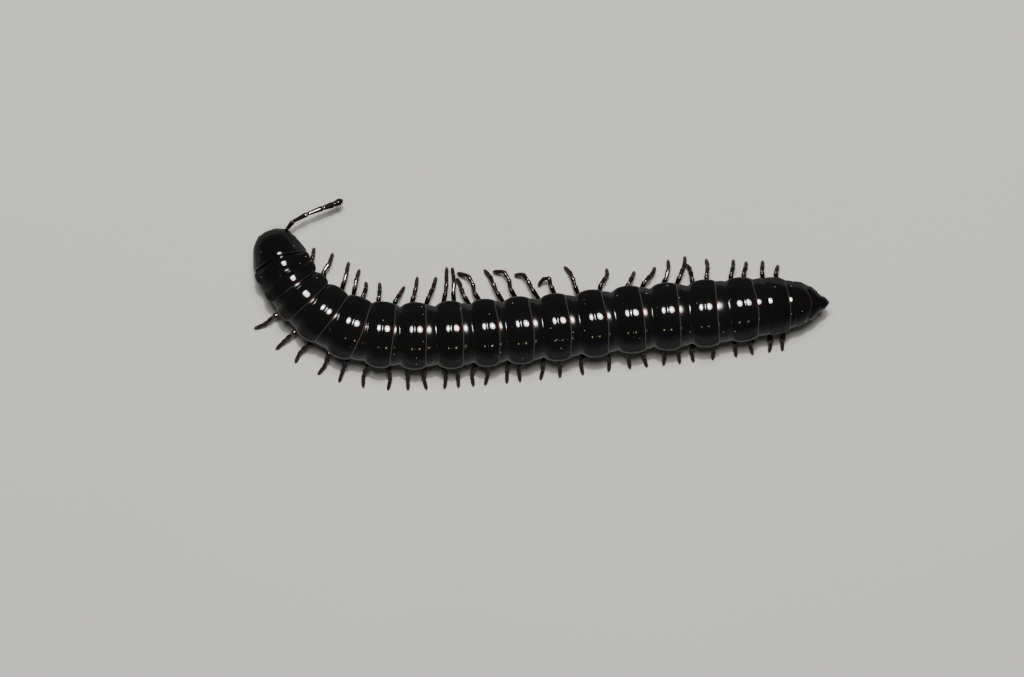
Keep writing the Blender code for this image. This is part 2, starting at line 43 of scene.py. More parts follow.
# the back line, in millimetres: where the collum's front margin lies, the heading there, each ring
COLLUM_FRONT = (-16.35, 3.86)
FRONT_HEADING = -73.0
STEP = 0.02
LEAD = 1.0
RINGS = (
    # name, length, heading at the hind margin, width, top of the back, flat underside
    ("collum", 1.50, -69.0, 3.50, 4.50, 2.95),
    ("ring_02", 1.00, -61.0, 3.60, 4.54, 2.00),
    ("ring_03", 1.12, -52.5, 3.62, 4.60, 1.98),
    ("ring_04", 1.36, -42.0, 3.68, 4.66, 1.96),
    ("ring_05", 1.74, -28.5, 3.84, 4.75, 1.95),
    ("ring_06", 1.97, -13.5, 4.00, 4.86, 1.95),
    ("ring_07", 1.94, -2.0, 4.10, 4.90, 1.95),
    ("ring_08", 2.05, 1.5, 4.15, 4.90, 1.95),
    ("ring_09", 2.30, 3.3, 4.18, 4.90, 1.95),
    ("ring_10", 2.24, 4.3, 4.18, 4.90, 1.95),
    ("ring_11", 2.11, 4.6, 4.18, 4.90, 1.95),
    ("ring_12", 2.30, 5.8, 4.18, 4.90, 1.95),
    ("ring_13", 2.31, 6.5, 4.18, 4.90, 1.95),
    ("ring_14", 2.24, 4.6, 4.18, 4.90, 1.95),
    ("ring_15", 2.20, 4.4, 4.18, 4.90, 1.95),
    ("ring_16", 2.34, 6.2, 4.16, 4.88, 1.95),
    ("ring_17", 2.53, 6.4, 4.08, 4.84, 1.96),
    ("ring_18", 1.99, 3.6, 3.72, 4.82, 2.02),
    ("ring_19", 1.33, 1.5, 2.94, 4.50, 2.35),
    ("telson", 1.12, 1.5, 1.90, 4.05, 2.55),
)
# hind margins that differ from the rest of their ring: share of its width, and top of the back
HIND_WIDTH = {"ring_17": 0.945, "ring_18": 0.88, "ring_19": 0.837}
HIND_TOP = {
    "ring_02": 4.62, "ring_03": 4.69, "ring_04": 4.77, "ring_05": 4.84,
    "ring_17": 4.80, "ring_18": 4.46, "ring_19": 4.06,
}
COLLUM_HIND = (1.66, 4.44, 2.05)  # half width, top and underside of what ring 2 sits in
EDGES = (
    # each ring's free prozonite, then its hind margin: heading, shift along the back line, bow at mid-back
    (0.00, -68.4, -0.12, -0.39),
    (0.09, -64.0, -0.215, -0.26),
    (0.26, -53.7, -0.18, -0.06),
    (0.28, -46.8, -0.165, 0.0),
    (0.30, -36.5, -0.09, 0.03),
    (0.30, -21.4, 0.0, 0.11),
    (0.28, -6.5, 0.0, 0.04),
    (0.38, -0.3, 0.0, 0.045),
    (0.60, 2.5, 0.0, 0.115),
    (0.56, 4.1, 0.0, 0.18),
    (0.40, 4.9, 0.0, 0.165),
    (0.56, 5.5, 0.0, 0.18),
    (0.56, 6.9, 0.0, 0.19),
    (0.47, 6.75, 0.0, 0.09),
    (0.50, 4.5, 0.0, 0.045),
    (0.62, 4.8, 0.0, 0.0),
    (0.74, 6.6, 0.0, 0.19),
    (0.62, 6.4, 0.0, 0.14),
    (0.40, 2.5, 0.0, 0.32),
    (0.00, 1.5, 0.0, 0.0),
)

# a ring's section
WIDEST_LEVEL = 0.47
BACK_CURVE = 2.1
BELLY_CURVE = 2.6
FLAT_ANGLE = 71.0
RING_SIDES = 96
KEEL_NORMAL = 52.0  # how far from upright the back leans where it meets the keel
KEEL_OVERHANG = 0.045
TUCK = 0.34  # how far a ring's front end reaches into the ring ahead
RING_TURNING = (
    # station (-1 to 0 tucked in, 0 to 1 prozonite, 1 to 2 metazonite), size, drop of the back in mm
    (-1.00, 0.50, 0.80),
    (-1.00, 0.80, 0.30),
    (-0.94, 0.856, 0.19),
    (-0.75, 0.886, 0.135),
    (-0.35, 0.908, 0.100),
    (-0.10, 0.916, 0.086),
    (0.08, 0.917, 0.081),
    (0.22, 0.915, 0.080),
    (0.38, 0.910, 0.082),
    (0.55, 0.901, 0.090),
    (0.70, 0.890, 0.105),
    (0.82, 0.879, 0.123),
    (0.91, 0.870, 0.139),
    (0.965, 0.865, 0.147),
    (1.00, 0.863, 0.150),
    (1.02, 0.865, 0.149),
    (1.04, 0.873, 0.143),
    (1.065, 0.886, 0.130),
    (1.09, 0.899, 0.114),
    (1.12, 0.914, 0.096),
    (1.16, 0.931, 0.076),
    (1.21, 0.948, 0.054),
    (1.27, 0.965, 0.030),
    (1.33, 0.979, 0.013),
    (1.40, 0.990, 0.003),
    (1.46, 0.996, 0.000),
    (1.51, 0.999, 0.000),
    (1.54, 1.000, 0.000),
    (1.565, 1.000, 0.000),
    (1.59, 1.000, 0.000),
    (1.63, 0.999, 0.000),
    (1.68, 0.996, 0.000),
    (1.73, 0.991, 0.001),
    (1.78, 0.984, 0.003),
    (1.83, 0.975, 0.008),
    (1.88, 0.964, 0.016),
    (1.92, 0.955, 0.026),
    (1.95, 0.948, 0.036),
    (1.965, 0.945, 0.039),
    (1.98, 0.941, 0.042),
    (1.992, 0.937, 0.049),
    (2.002, 0.932, 0.060),
    (2.000, 0.928, 0.068),
    (1.98, 0.925, 0.073),
    (1.90, 0.923, 0.076),
    (1.75, 0.921, 0.079),
    (1.60, 0.919, 0.082),
    (1.56, 0.90, 0.12),
    (1.56, 0.50, 0.80),
)
BELLY_SHARE = 0.62  # how much of a change in size shows on the underside
INSIDE_SIZE = 0.93  # rows of the metazonite up to this size lie inside it
FURROW_STATION = 1.565
FURROW_WIDTH = 0.030
FURROW_DEPTH = 0.018
FURROW_BED_WIDTH = 0.12
FURROW_BED_DEPTH = 0.011
FURROWED = range(4, 17)
KEEL_RISE = 0.014
SIDE_STEP = 0.05  # the hard rings lie this far towards +Y of the back line
# ring numbers in the next values count from the collum, as 0
WAIST_SHARE = {1: 0.40, 2: 0.45, 3: 0.55, 4: 0.70, 5: 0.85, 16: 0.65, 17: 0.25, 18: 0.10}
WAIST_BOW = 0.35  # how far the waist follows the bows of the margins beside it
MIDDLE_RING = 9  # waists are fitted one way ahead of it and another behind it
RAISED_FRONTS = 5  # so many of the first rings have prozonites that stand higher, by the next value
FRONT_RISE = 0.035
DULL_SIDED = 3  # so many of the first rings are duller at their sides
BACK_DIP = {17: 0.026, 18: 0.030}  # behind the margin ahead
TAIL_KEELED = {17: 0.75, 18: 0.5}  # the last rings grow rounder
PORE_RINGS = (4, 6, 8, 9, 11, 12, 14, 15, 16, 17, 18)
PORE_STATION = 1.70
PORE_ANGLES = (6, 174)

# legs: hips along the ring, podomeres and what stands on them
SINGLE_PAIRS = 3  # the first pairs, one to a ring
SINGLE_HIP = 0.62
DOUBLE_HIPS = (0.36, 0.82)
HIP_OUT = 0.38
HIP_DROP = 0.30
PODOMERES = (
    # name, share of the leg's length, thickness at its wide end, bristles
    ("coxa", 0.10, 0.38, 1),
    ("prefemur", 0.17, 0.34, 3),
    ("femur", 0.26, 0.31, 4),
    ("postfemur", 0.13, 0.30, 4),
    ("tibia", 0.13, 0.28, 5),
    ("tarsus", 0.21, 0.25, 12),
)
KNEE_OUT = 0.74  # from the middle line to the bend under the body
KNEE_LEVELS = (0.145, 0.5, 1.0, 1.4, 1.6, 1.7)  # left legs, from the claw
FOLDED_LEVELS = (0.145, 0.8, 1.35)
LIFT_END = 1.8  # a lifted leg's lift has died out at this level
# right legs: levels of the body's edge and the claw, share of the level run, its fall a millimetre
LEG_EDGE_LEVEL = 1.62
CLAW_LEVEL = 0.155
KNEE_SHARE = 0.58
RUN_FALL = 0.214
RIGHT_LEGS = (
    # for each pair, from claw to body: ahead of the hip, out from the middle line
    ((0.76, 1.24), (0.62, 1.30), (0.40, 1.24)),
    ((0.88, 1.26), (0.74, 1.31), (0.48, 1.24)),
    ((1.73, 2.32), (1.47, 2.05), (1.22, 1.69)),
    ((1.36, 3.09), (1.22, 2.69), (1.15, 2.30), (1.14, 1.72)),
    ((0.67, 3.30), (0.55, 2.95), (0.41, 2.62), (0.33, 2.33), (0.29, 1.82)),
    ((0.44, 3.27), (0.39, 2.80), (0.24, 2.13)),
    ((0.34, 2.71), (0.22, 2.45), (0.30, 1.81)),
    ((0.21, 2.88), (0.11, 2.52), (0.09, 1.78)),
    ((-0.72, 2.81), (-0.41, 2.30), (-0.14, 1.87)),
    ((-0.60, 3.39), (-0.54, 2.81), (-0.42, 2.37), (-0.39, 1.96)),
    ((-0.92, 3.36), (-0.83, 3.04), (-0.60, 2.52), (-0.29, 1.88)),
    ((-0.50, 3.93), (-0.47, 3.60), (-0.49, 3.17), (-0.42, 2.76), (-0.35, 2.30), (-0.18, 1.91)),
    ((0.16, 3.90), (0.13, 3.62), (0.05, 3.32), (0.09, 2.82), (0.23, 2.09)),
    ((1.08, 3.23), (0.89, 2.97), (0.79, 2.53), (0.61, 2.07), (0.46, 1.82)),
    ((2.01, 3.63), (1.65, 3.54), (1.25, 3.42), (1.10, 3.09), (1.05, 2.49), (0.95, 1.96)),
    ((1.47, 3.68), (1.14, 3.34), (0.99, 2.93), (0.81, 2.38), (0.57, 1.85)),
    ((1.87, 3.56), (1.41, 3.69), (1.03, 3.35), (0.93, 3.02), (0.88, 2.42), (0.79, 1.93)),
    ((1.74, 3.25), (1.38, 3.39), (1.09, 3.18), (0.83, 2.62), (0.65, 2.14), (0.41, 1.81)),
    ((1.35, 2.47), (0.98, 2.96), (0.57, 2.92), (0.57, 2.52), (0.57, 2.09)),
    ((0.84, 3.44), (0.60, 3.24), (0.44, 2.94), (0.37, 2.62), (0.29, 2.18), (0.12, 1.76)),
    ((-0.71, 3.02), (-0.71, 2.73), (-0.41, 2.42), (-0.04, 1.96)),
    ((-1.17, 2.66), (-0.98, 2.45), (-0.66, 2.00)),
    ((-1.40, 2.84), (-1.24, 2.60), (-0.84, 2.28), (-0.45, 1.88)),
    ((-1.05, 3.22), (-1.01, 2.81), (-0.83, 2.43), (-0.72, 2.03)),
    ((-1.10, 3.36), (-1.01, 2.96), (-0.74, 2.49), (-0.46, 1.89)),
    ((0.06, 2.86), (-0.09, 2.75), (-0.17, 2.31), (-0.24, 1.80)),
    ((-0.17, 3.06), (-0.21, 2.77), (-0.12, 2.48), (-0.03, 2.03)),
    ((-0.55, 2.84), (-0.45, 2.52), (-0.31, 2.23), (-0.21, 1.83)),
    ((-0.17, 2.62), (-0.08, 2.43), (0.17, 1.93)),
    ((0.01, 2.57), (0.12, 2.28), (0.23, 1.76)),
    ((0.05, 2.21), (0.20, 2.06), (0.38, 1.70)),
)
LIFTED = {14: 0.5, 15: 0.2, 16: 0.5, 17: 0.4, 18: 0.3, 19: 0.1}  # pairs counted from 0
LEFT_AHEAD = 0.10
LEFT_SWING_SHARE = 0.35
LEFT_OUT_FRONT = 3.90
LEFT_OUT_TAIL = 3.10
FOLDED_PAIRS = 2

# head, in its own axes: forward of the collum's front margin, right, up
HEAD_PIVOT = -1.2
HEAD_TURN = -2.0
HEAD_SHIFT = 0.03
CRANIUM_MIDDLE = (-0.55, 0.0, 2.42)
CRANIUM_HALF = (0.84, 1.24, 1.30)
CROWN_POWER = 0.62  # below 1 the crown is fuller than a ball
SOCKET_OUT = {1: 0.95, -1: 0.82}
SOCKET_AIM = (0.72, 0.62, 0.14)
LIP_FRINGE = 14
FACE_BRISTLES = (
    # pairs on the face and crown: forward, out, up
    (0.16, 0.22, 3.05),
    (0.28, 0.30, 2.72),
    (0.30, 0.20, 2.05),
    (0.31, 0.42, 1.80),
    (0.33, 0.22, 1.60),
)
COLLUM_WALL = 0.09
COLLUM_EDGE = (
    # place along the back line, half width, top, level of the free margin
    (-0.24, 0.05, 3.47, 3.46),
    (-0.23, 0.22, 3.51, 3.455),
    (-0.19, 0.42, 3.60, 3.44),
    (-0.07, 0.70, 3.79, 3.40),
    (0.08, 0.94, 3.96, 3.28),
    (0.36, 1.23, 4.14, 3.08),
    (0.72, 1.43, 4.30, 2.90),
    (1.12, 1.59, 4.41, 2.82),
    (1.36, 1.68, 4.46, 2.88),
    (1.50, 1.71, 4.485, 3.02),
)
ANTENNOMERES = (
    # share of the length, thickness at the wide end, bristles
    (0.13, 0.31, 6),
    (0.75, 0.31, 30),
    (1.04, 0.31, 40),
    (1.07, 0.34, 46),
    (0.72, 0.40, 50),
    (0.52, 0.45, 56),
    (0.10, 0.37, 14),
    (0.05, 0.20, 0),
)
ANTENNA_REACH = (
    # the right feeler's middle line past its socket: forward, out, up
    (0.385, 1.535, 2.65),
    (0.465, 2.01, 2.67),
    (0.60, 2.70, 2.60),
    (0.625, 3.36, 2.48),
    (0.63, 4.01, 2.28),
    (0.65, 4.34, 2.17),
    (0.71, 4.80, 2.00),
)
ANTENNA_TUCK = (
    # the left feeler's, down in front of the face and back under the chin
    (-0.09, 0.83, 2.12),
    (-0.06, 0.82, 1.75),
    (-0.05, 0.80, 1.32),
    (-0.18, 0.78, 0.93),
    (-0.52, 0.64, 0.70),
    (-1.20, 0.46, 0.58),
)
TAIL_PROFILE = (
    # place behind the last ring's hind margin, half width, top, underside
    (-0.60, 0.98, 3.98, 2.66),
    (-0.42, 1.05, 4.01, 2.62),
    (-0.24, 1.075, 4.01, 2.58),
    (-0.08, 1.065, 4.00, 2.56),
    (0.06, 1.01, 3.97, 2.56),
    (0.16, 0.935, 3.94, 2.57),
    (0.25, 0.855, 3.92, 2.59),
    (0.34, 0.765, 3.89, 2.63),
    (0.43, 0.665, 3.86, 2.70),
    (0.51, 0.57, 3.83, 2.79),
    (0.575, 0.49, 3.80, 2.90),
    (0.62, 0.445, 3.785, 2.97),
    (0.66, 0.43, 3.775, 3.01),
    (0.72, 0.42, 3.76, 3.03),
    (0.80, 0.39, 3.73, 3.05),
    (0.88, 0.34, 3.69, 3.07),
    (0.96, 0.265, 3.64, 3.10),
    (1.03, 0.18, 3.57, 3.14),
    (1.08, 0.105, 3.50, 3.19),
    (1.11, 0.05, 3.43, 3.25),
    (1.12, 0.02, 3.37, 3.30),
)

TAIL_BRISTLES = (
    # place behind the last ring's hind margin, out from the middle, level, lift
    (1.08, 0.08, 3.40, 0.1),
    (1.07, 0.08, 3.28, -0.2),
    (0.60, 0.46, 3.42, 0.2),
    (0.82, 0.28, 3.58, 0.7),
    (0.34, 0.72, 3.45, 0.5),
    (0.72, 0.15, 3.03, -0.3),
    (0.70, 0.16, 2.72, -0.3),
    (0.64, 0.13, 2.46, -0.5),
)

# the picture
AIM = (-1.416, -2.545, 3.4)
CAMERA_DISTANCE = 300.0
CAMERA_TILT = 5.0
PIXEL = 0.062
FRAME_WIDTH = 1024 * PIXEL
SENSOR = 36.0
LAMP_AIM = (0.0, -1.2, 3.0)
LAMP_DISTANCE = 330.0
KEY_TILT = 16.0
WARM_TILT = -38.5
DAYLIGHT = (1.0, 0.985, 0.96)
AMBER = (1.0, 0.87, 0.62)

chance = random.Random(20)


def smooth(value, low, high):
    """0 below low, 1 above high, and an easy rise between."""
    share = min(1.0, max(0.0, (value - low) / (high - low)))
    return share * share * (3 - 2 * share)


def hump(value, middle, width):
    """1 at the middle, falling off to both sides."""
    return math.exp(-(((value - middle) / width) ** 2))


def ring_margins():
    """Places of the rings' margins along the back line."""
    margins = [0.0]
    for ring in RINGS:
        margins.append(margins[-1] + ring[1])
    return margins


MARGINS = ring_margins()
HEADINGS = [FRONT_HEADING] + [ring[2] for ring in RINGS]


def even_heading(place):
    """Heading of the back line, which turns evenly along each ring."""
    if place <= 0:
        return math.radians(HEADINGS[0])
    for i in range(len(RINGS)):
        if place <= MARGINS[i + 1]:
            share = (place - MARGINS[i]) / (MARGINS[i + 1] - MARGINS[i])
            return math.radians(HEADINGS[i] + share * (HEADINGS[i + 1] - HEADINGS[i]))
    return math.radians(HEADINGS[-1])


def walk_back_line():
    """Points of the back line at even steps, from ahead of the collum to behind the telson."""
    start = Vector(COLLUM_FRONT)
    first = even_heading(0)
    point = start - LEAD * Vector((math.cos(first), math.sin(first)))
    place = -LEAD
    line = [point.copy()]
    while place < MARGINS[-1] + LEAD:
        middle = even_heading(place + STEP / 2)
        point = point + STEP * Vector((math.cos(middle), math.sin(middle)))
        line.append(point.copy())
        place += STEP
    return line


BACK_LINE = walk_back_line()


def back_point(place):
    where = (place + LEAD) / STEP
    low = int(where)
    return BACK_LINE[low].lerp(BACK_LINE[low + 1], where - low)


def shell_spot(place, right, up, turn):
    """World point, in metres, of a spot on a hard ring that has this heading."""
    point = back_point(place)
    aside = point.y + SIDE_STEP + math.cos(turn) * right
    return Vector((point.x - math.sin(turn) * right, aside, up)) * MM


def axes_at(place):
    """Point of the back line and the tailward and right directions, as the solids have them."""
    point = back_point(place)
    turn = even_heading(place)
    tailward = Vector((math.cos(turn), math.sin(turn), 0))
    right = Vector((-math.sin(turn), math.cos(turn), 0))
    return Vector((point.x, point.y, 0)), tailward, right


def signed_power(value, power):
    return math.copysign(abs(value) ** power, value)


def body_section(angle, half, top, under, spare, keeled):
    """Across and up for a spot round a body section, and the level where it is widest.

    The belly is drawn in by a spare share. Keeled runs from 0, near round, to 1, a low vault that ends
    at a keel on each side."""
    side, rise = math.cos(angle), math.sin(angle)
    lean = math.radians(KEEL_NORMAL)
    vault_level = top - half / math.sin(lean) * (1 - math.cos(lean))
    round_level = under + WIDEST_LEVEL * (top - under)
    level = round_level + (vault_level - round_level) * keeled
    if rise >= 0:
        bend = lean * math.acos(min(1.0, rise)) / (math.pi / 2)
        vault_side = math.copysign(math.sin(bend) / math.sin(lean), side)
        vault_rise = 1 - (1 - math.cos(bend)) / (1 - math.cos(lean))
        round_side = signed_power(side, 2 / BACK_CURVE)
        round_rise = rise ** (2 / BACK_CURVE)
        across = half * (round_side + (vault_side - round_side) * keeled)
        up = level + (top - level) * (round_rise + (vault_rise - round_rise) * keeled)
    else:
        overhang = KEEL_OVERHANG * keeled * smooth(-rise, 0.0, 0.22)
        across = half * signed_power(side, 2 / BELLY_CURVE) * (1 - overhang)
        drop = (-rise) ** (2 / BELLY_CURVE)
        if -rise > math.sin(math.radians(FLAT_ANGLE)):
            drop = 1.0
        up = level - (level - under) * (1 - spare * BELLY_SHARE) * drop
    return across, up, level


# pieces and the operators that make them


def fresh():
    """Leaves nothing selected, so that the next operator acts on the new piece alone."""
    bpy.ops.object.select_all(action="DESELECT")


def named(name):
    """The piece that an operator has just made, with its name."""
    bpy.context.object.name = name
    return bpy.context.object


def pick(piece):
    fresh()
    piece.select_set(True)
    bpy.context.view_layer.objects.active = piece


def settle(piece):
    """Puts the piece's place into its mesh."""
    pick(piece)
    bpy.ops.object.transform_apply(location=True, rotation=True, scale=True)
    return piece


def fix_outward(piece):
    """Turns every closed surface of a piece so that its faces point out."""
    pick(piece)
    bpy.ops.object.mode_set(mode="EDIT")
    bpy.ops.mesh.select_all(action="SELECT")
    bpy.ops.mesh.normals_make_consistent(inside=False)
    bpy.ops.object.mode_set(mode="OBJECT")
    return piece


def turned(name, sides, stations):
    """A closed shell turned about Z: a disc pushed on and widened from station to station."""
    fresh()
    place, size = stations[0]
    bpy.ops.mesh.primitive_circle_add(vertices=sides, radius=size, fill_type="NGON", location=(0, 0, place))
    piece = settle(named(name))
    bpy.ops.object.mode_set(mode="EDIT")
    bpy.ops.mesh.select_all(action="SELECT")
    for (place, size), (after, wider) in zip(stations, stations[1:]):
        bpy.ops.mesh.extrude_region_move(TRANSFORM_OT_translate={"value": (0, 0, after - place)})
        share = wider / size
        bpy.ops.transform.resize(value=(share, share, 1), center_override=(0, 0, after))
    bpy.ops.object.mode_set(mode="OBJECT")
    return fix_outward(piece)


def rounded(name, turns, rows):
    """A ball to shape, its poles up and down."""
    fresh()
    bpy.ops.mesh.primitive_uv_sphere_add(segments=turns, ring_count=rows, radius=1.0)
    return named(name)


def hoop(name, radius, thickness, turns=20, sides=8):
    """A small raised rim, lying flat."""
    fresh()
    bpy.ops.mesh.primitive_torus_add(
        major_radius=radius, minor_radius=thickness, major_segments=turns, minor_segments=sides
    )
    return named(name)


def tapered(name, sides, base, tip, length):
    """A bristle or tooth standing on its base."""
    fresh()
    bpy.ops.mesh.primitive_cone_add(vertices=sides, radius1=base, radius2=tip, depth=length)
    piece = named(name)
    piece.data.transform(Matrix.Translation((0, 0, length / 2)))
    return piece


def put_away(piece):
    """Keeps a master's mesh and removes its object."""
    mesh = piece.data
    bpy.data.objects.remove(piece, do_unlink=True)
    return mesh


def new_piece(name, mesh):
    piece = bpy.data.objects.new(name, mesh)
    bpy.context.scene.collection.objects.link(piece)
    return piece


def copy_of(mesh, name):
    return new_piece(name, mesh.copy())


def facing(aim, at, width=1.0, height=1.0):
    """Matrix that stands a master, modelled in millimetres, on a spot, with its Z along the aim."""
    turn = Vector((0, 0, 1)).rotation_difference(Vector(aim)).to_matrix().to_4x4()
    size = Matrix.Diagonal((width * MM, width * MM, height * MM, 1))
    return Matrix.Translation(Vector(at)) @ turn @ size


class Assembly:
    """Collects placed copies of masters into one mesh, each copy in one of its finishes."""

    def __init__(self, finishes):
        self.form = bmesh.new()
        self.finishes = finishes

    def add(self, master, matrix, finish):
        copied = master.copy()
        copied.transform(matrix)
        chosen = self.finishes.index(finish)
        for face in copied.polygons:
            face.material_index = chosen
        self.form.from_mesh(copied)
        bpy.data.meshes.remove(copied)

    def made(self, name):
        mesh = bpy.data.meshes.new(name)
        bmesh.ops.recalc_face_normals(self.form, faces=self.form.faces)
        self.form.to_mesh(mesh)
        self.form.free()
        piece = new_piece(name, mesh)
        dress(piece, self.finishes)
        return piece


def joined(name, pieces):
    """Joins loose pieces into the first of them."""
    fresh()
    for piece in pieces:
        piece.select_set(True)
    bpy.context.view_layer.objects.active = pieces[0]
    bpy.ops.object.join()
    pieces[0].name = name
    return pieces[0]


def dress(piece, finishes):
    """Gives a piece its finishes; each face keeps the one it was made for."""
    mesh = piece.data
    chosen = [face.material_index for face in mesh.polygons]
    mesh.materials.clear()
    for finish in finishes:
        mesh.materials.append(finish)
    mesh.polygons.foreach_set("material_index", chosen)


def hand_over(piece, node, angle=50):
    """Smooths a finished piece and lets it stand for its node."""
    pick(piece)
    bpy.ops.object.shade_smooth_by_angle(angle=math.radians(angle))
    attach(piece, "root")
    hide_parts(node)
    return piece


# finishes


class Level:
    """A number that varies over a surface; arithmetic on it adds the Math nodes."""

    def __init__(self, finish, socket):
        self.finish = finish
        self.socket = socket

    def _with(self, operation, first, second):
        made = self.finish.node("ShaderNodeMath", {"operation": operation}, {0: first, 1: second})
        return Level(self.finish, made.outputs[0])

    def __add__(self, other):
        return self._with("ADD", self, other)

    def __radd__(self, other):
        return self._with("ADD", other, self)

    def __sub__(self, other):
        return self._with("SUBTRACT", self, other)

    def __rsub__(self, other):
        return self._with("SUBTRACT", other, self)

    def __mul__(self, other):
        return self._with("MULTIPLY", self, other)

    def __rmul__(self, other):
        return self._with("MULTIPLY", other, self)

    def __pow__(self, other):
        return self._with("POWER", self, other)

    def __gt__(self, other):
        return self._with("GREATER_THAN", self, other)

    def __lt__(self, other):
        return self._with("LESS_THAN", self, other)


class Finish:
    """One procedural material and the nodes that make it."""

    def __init__(self, name):
        self.material = bpy.data.materials.new(name)
        self.material.use_nodes = True
        self.tree = self.material.node_tree
        self.shader = self.tree.nodes["Principled BSDF"]
        coords = self.node("ShaderNodeTexCoord", {}, {})
        self.where = coords.outputs["Object"]

    def node(self, kind, settings, values):
        made = self.tree.nodes.new(kind)
        for key, value in settings.items():
            if key == "stops":
                self.set_stops(made.color_ramp, value)
            else:
                setattr(made, key, value)
        for key, value in values.items():
            self.feed(made.inputs[key], value)
        return made

    def set_stops(self, ramp, stops):
        while len(ramp.elements) < len(stops):
            ramp.elements.new(1.0)
        for element, (place, colour) in zip(ramp.elements, stops):
            element.position = place
            element.color = colour

    def feed(self, socket, value):
        if isinstance(value, Level):
            value = value.socket
        if isinstance(value, bpy.types.NodeSocket):
            self.tree.links.new(value, socket)
        else:
            socket.default_value = value

    def level(self, socket):
        return Level(self, socket)

    def grain(self, scale, detail=3.0, roughness=0.55):
        made = self.node(
            "ShaderNodeTexNoise",
            {"noise_dimensions": "3D"},
            {"Vector": self.where, "Scale": scale, "Detail": detail, "Roughness": roughness},
        )
        return self.level(made.outputs["Fac"])

    def cells(self, scale):
        return self.node("ShaderNodeTexVoronoi", {"feature": "F1"}, {"Vector": self.where, "Scale": scale})

    def pits(self, scale):
        return self.level(self.cells(scale).outputs["Distance"])

    def specks(self, scale, size, share):
        """Small spots at a share of the cells of a loose lattice."""
        cells = self.cells(scale)
        parts = self.node("ShaderNodeSeparateColor", {}, {"Color": cells.outputs["Color"]})
        near = self.level(cells.outputs["Distance"]) < size
        chosen = self.level(parts.outputs[0]) > 1 - share
        return near * chosen

    def sine(self, level):
        return level._with("SINE", level, 0.0)

    def marked(self, name):
        made = self.node("ShaderNodeAttribute", {"attribute_name": name}, {})
        return self.level(made.outputs["Fac"])

    def rise(self, level, low, high):
        made = self.node(
            "ShaderNodeMapRange",
            {"interpolation_type": "SMOOTHSTEP", "clamp": True},
            {"Value": level, "From Min": low, "From Max": high},
        )
        return self.level(made.outputs["Result"])

    def frontal(self):
        """1 where a surface faces the eye, 0 at its outline; the gloss follows it."""
        made = self.node("ShaderNodeLayerWeight", {}, {"Blend": 0.5})
        return 1 - self.level(made.outputs["Facing"])

    def blend(self, share, first, second):
        made = self.node("ShaderNodeMix", {"data_type": "RGBA"}, {0: share, 6: first, 7: second})
        return made.outputs[2]

    def bumps(self, height, distance, strength=1.0):
        made = self.node(
            "ShaderNodeBump", {}, {"Height": height, "Distance": distance, "Strength": strength}
        )
        self.feed(self.shader.inputs["Normal"], made.outputs["Normal"])

    def look(self, **values):
        for key, value in values.items():
            self.feed(self.shader.inputs[key.replace("_", " ")], value)


def colour(red, green, blue):
    return (red, green, blue, 1.0)


# pale specks: dust, and also painted glints that stand in for small sparkles of light
DUST_AND_GLINT = colour(0.26, 0.25, 0.22)


def black_cuticle(name, side_gloss=1.0):
    """Polished near-black shell: duller prozonite, ribbed waist, faint red at the edge with a painted red
    glow along the row of the key light's highlights, grey hind rim, dust specks that are also painted
    glints.

    Side gloss below 1 leaves that share of the gloss where the shell turns away from the eye."""
    finish = Finish(name)
    station = finish.marked("station")
    around = finish.marked("around")
    broad = finish.grain(420.0, 2.0)
    fine = finish.grain(9000.0, 3.0)
    # painted highlight: the pale dust specks also stand in for tiny glints of light
    dust_and_glint = finish.specks(2900.0, 0.075, 0.3)
    meta = finish.rise(station, 0.97, 1.04)
    thin = finish.rise(station, 1.90, 1.975)
    rim = finish.rise(station, 1.974, 1.986)
    brim = finish.marked("brim")
    base = finish.blend(broad, colour(0.0022, 0.0022, 0.0025), colour(0.0050, 0.0046, 0.0045))
    # painted light: the thin hind edge is faintly red all round, and a strong painted red glow is added
    # along the row where the key light's highlights fall
    beside = around - 0.30
    middle = 1 - finish.rise(beside * beside, 0.004, 0.06)
    base = finish.blend(thin * (0.03 + 0.62 * middle), base, colour(0.042, 0.0048, 0.0028))
    base = finish.blend(rim * 0.50 + brim * 0.10, base, colour(0.066, 0.067, 0.067))
    base = finish.blend(dust_and_glint, base, DUST_AND_GLINT)
    dull = 0.13 - 0.08 * meta + 0.05 * broad + 0.4 * dust_and_glint + 0.20 * rim
    finish.look(Base_Color=base, Roughness=dull, IOR=1.36)
    if side_gloss < 1:
        facing_up = side_gloss + (1 - side_gloss) * finish.frontal() ** 2.0
        finish.look(IOR=1.05, Coat_IOR=1.38, Coat_Roughness=0.07, Coat_Weight=facing_up)
    at_waist = finish.rise(station, 0.90, 0.97) * (1 - finish.rise(station, 1.01, 1.05))
    ribs = finish.sine(around * 150.0) * at_waist
    finish.bumps(fine * 0.5 + finish.pits(14000.0) * (0.7 - 0.5 * meta) + ribs * 0.4, 0.0000030, 0.5)
    return finish.material


def head_cuticle():
    """The head's shell, a little browner and duller, with fine punctures."""
    finish = Finish("head_cuticle")
    broad = finish.grain(700.0, 3.0)
    fine = finish.grain(8000.0, 3.0)
    # painted highlight: the pale dust specks also stand in for tiny glints of light
    dust_and_glint = finish.specks(2900.0, 0.075, 0.4)
    base = finish.blend(broad, colour(0.0018, 0.0016, 0.0016), colour(0.0050, 0.0036, 0.0031))
    base = finish.blend(dust_and_glint, base, DUST_AND_GLINT)
    finish.look(Base_Color=base, Roughness=0.45 + 0.12 * broad + 0.3 * dust_and_glint)
    gloss = 0.06 + 0.94 * finish.frontal() ** 2.0
    finish.look(IOR=1.05, Coat_IOR=1.36, Coat_Roughness=0.14, Coat_Weight=gloss)
    finish.bumps(fine * 0.6 + finish.pits(5200.0) * 0.8, 0.000005, 0.6)
    return finish.material


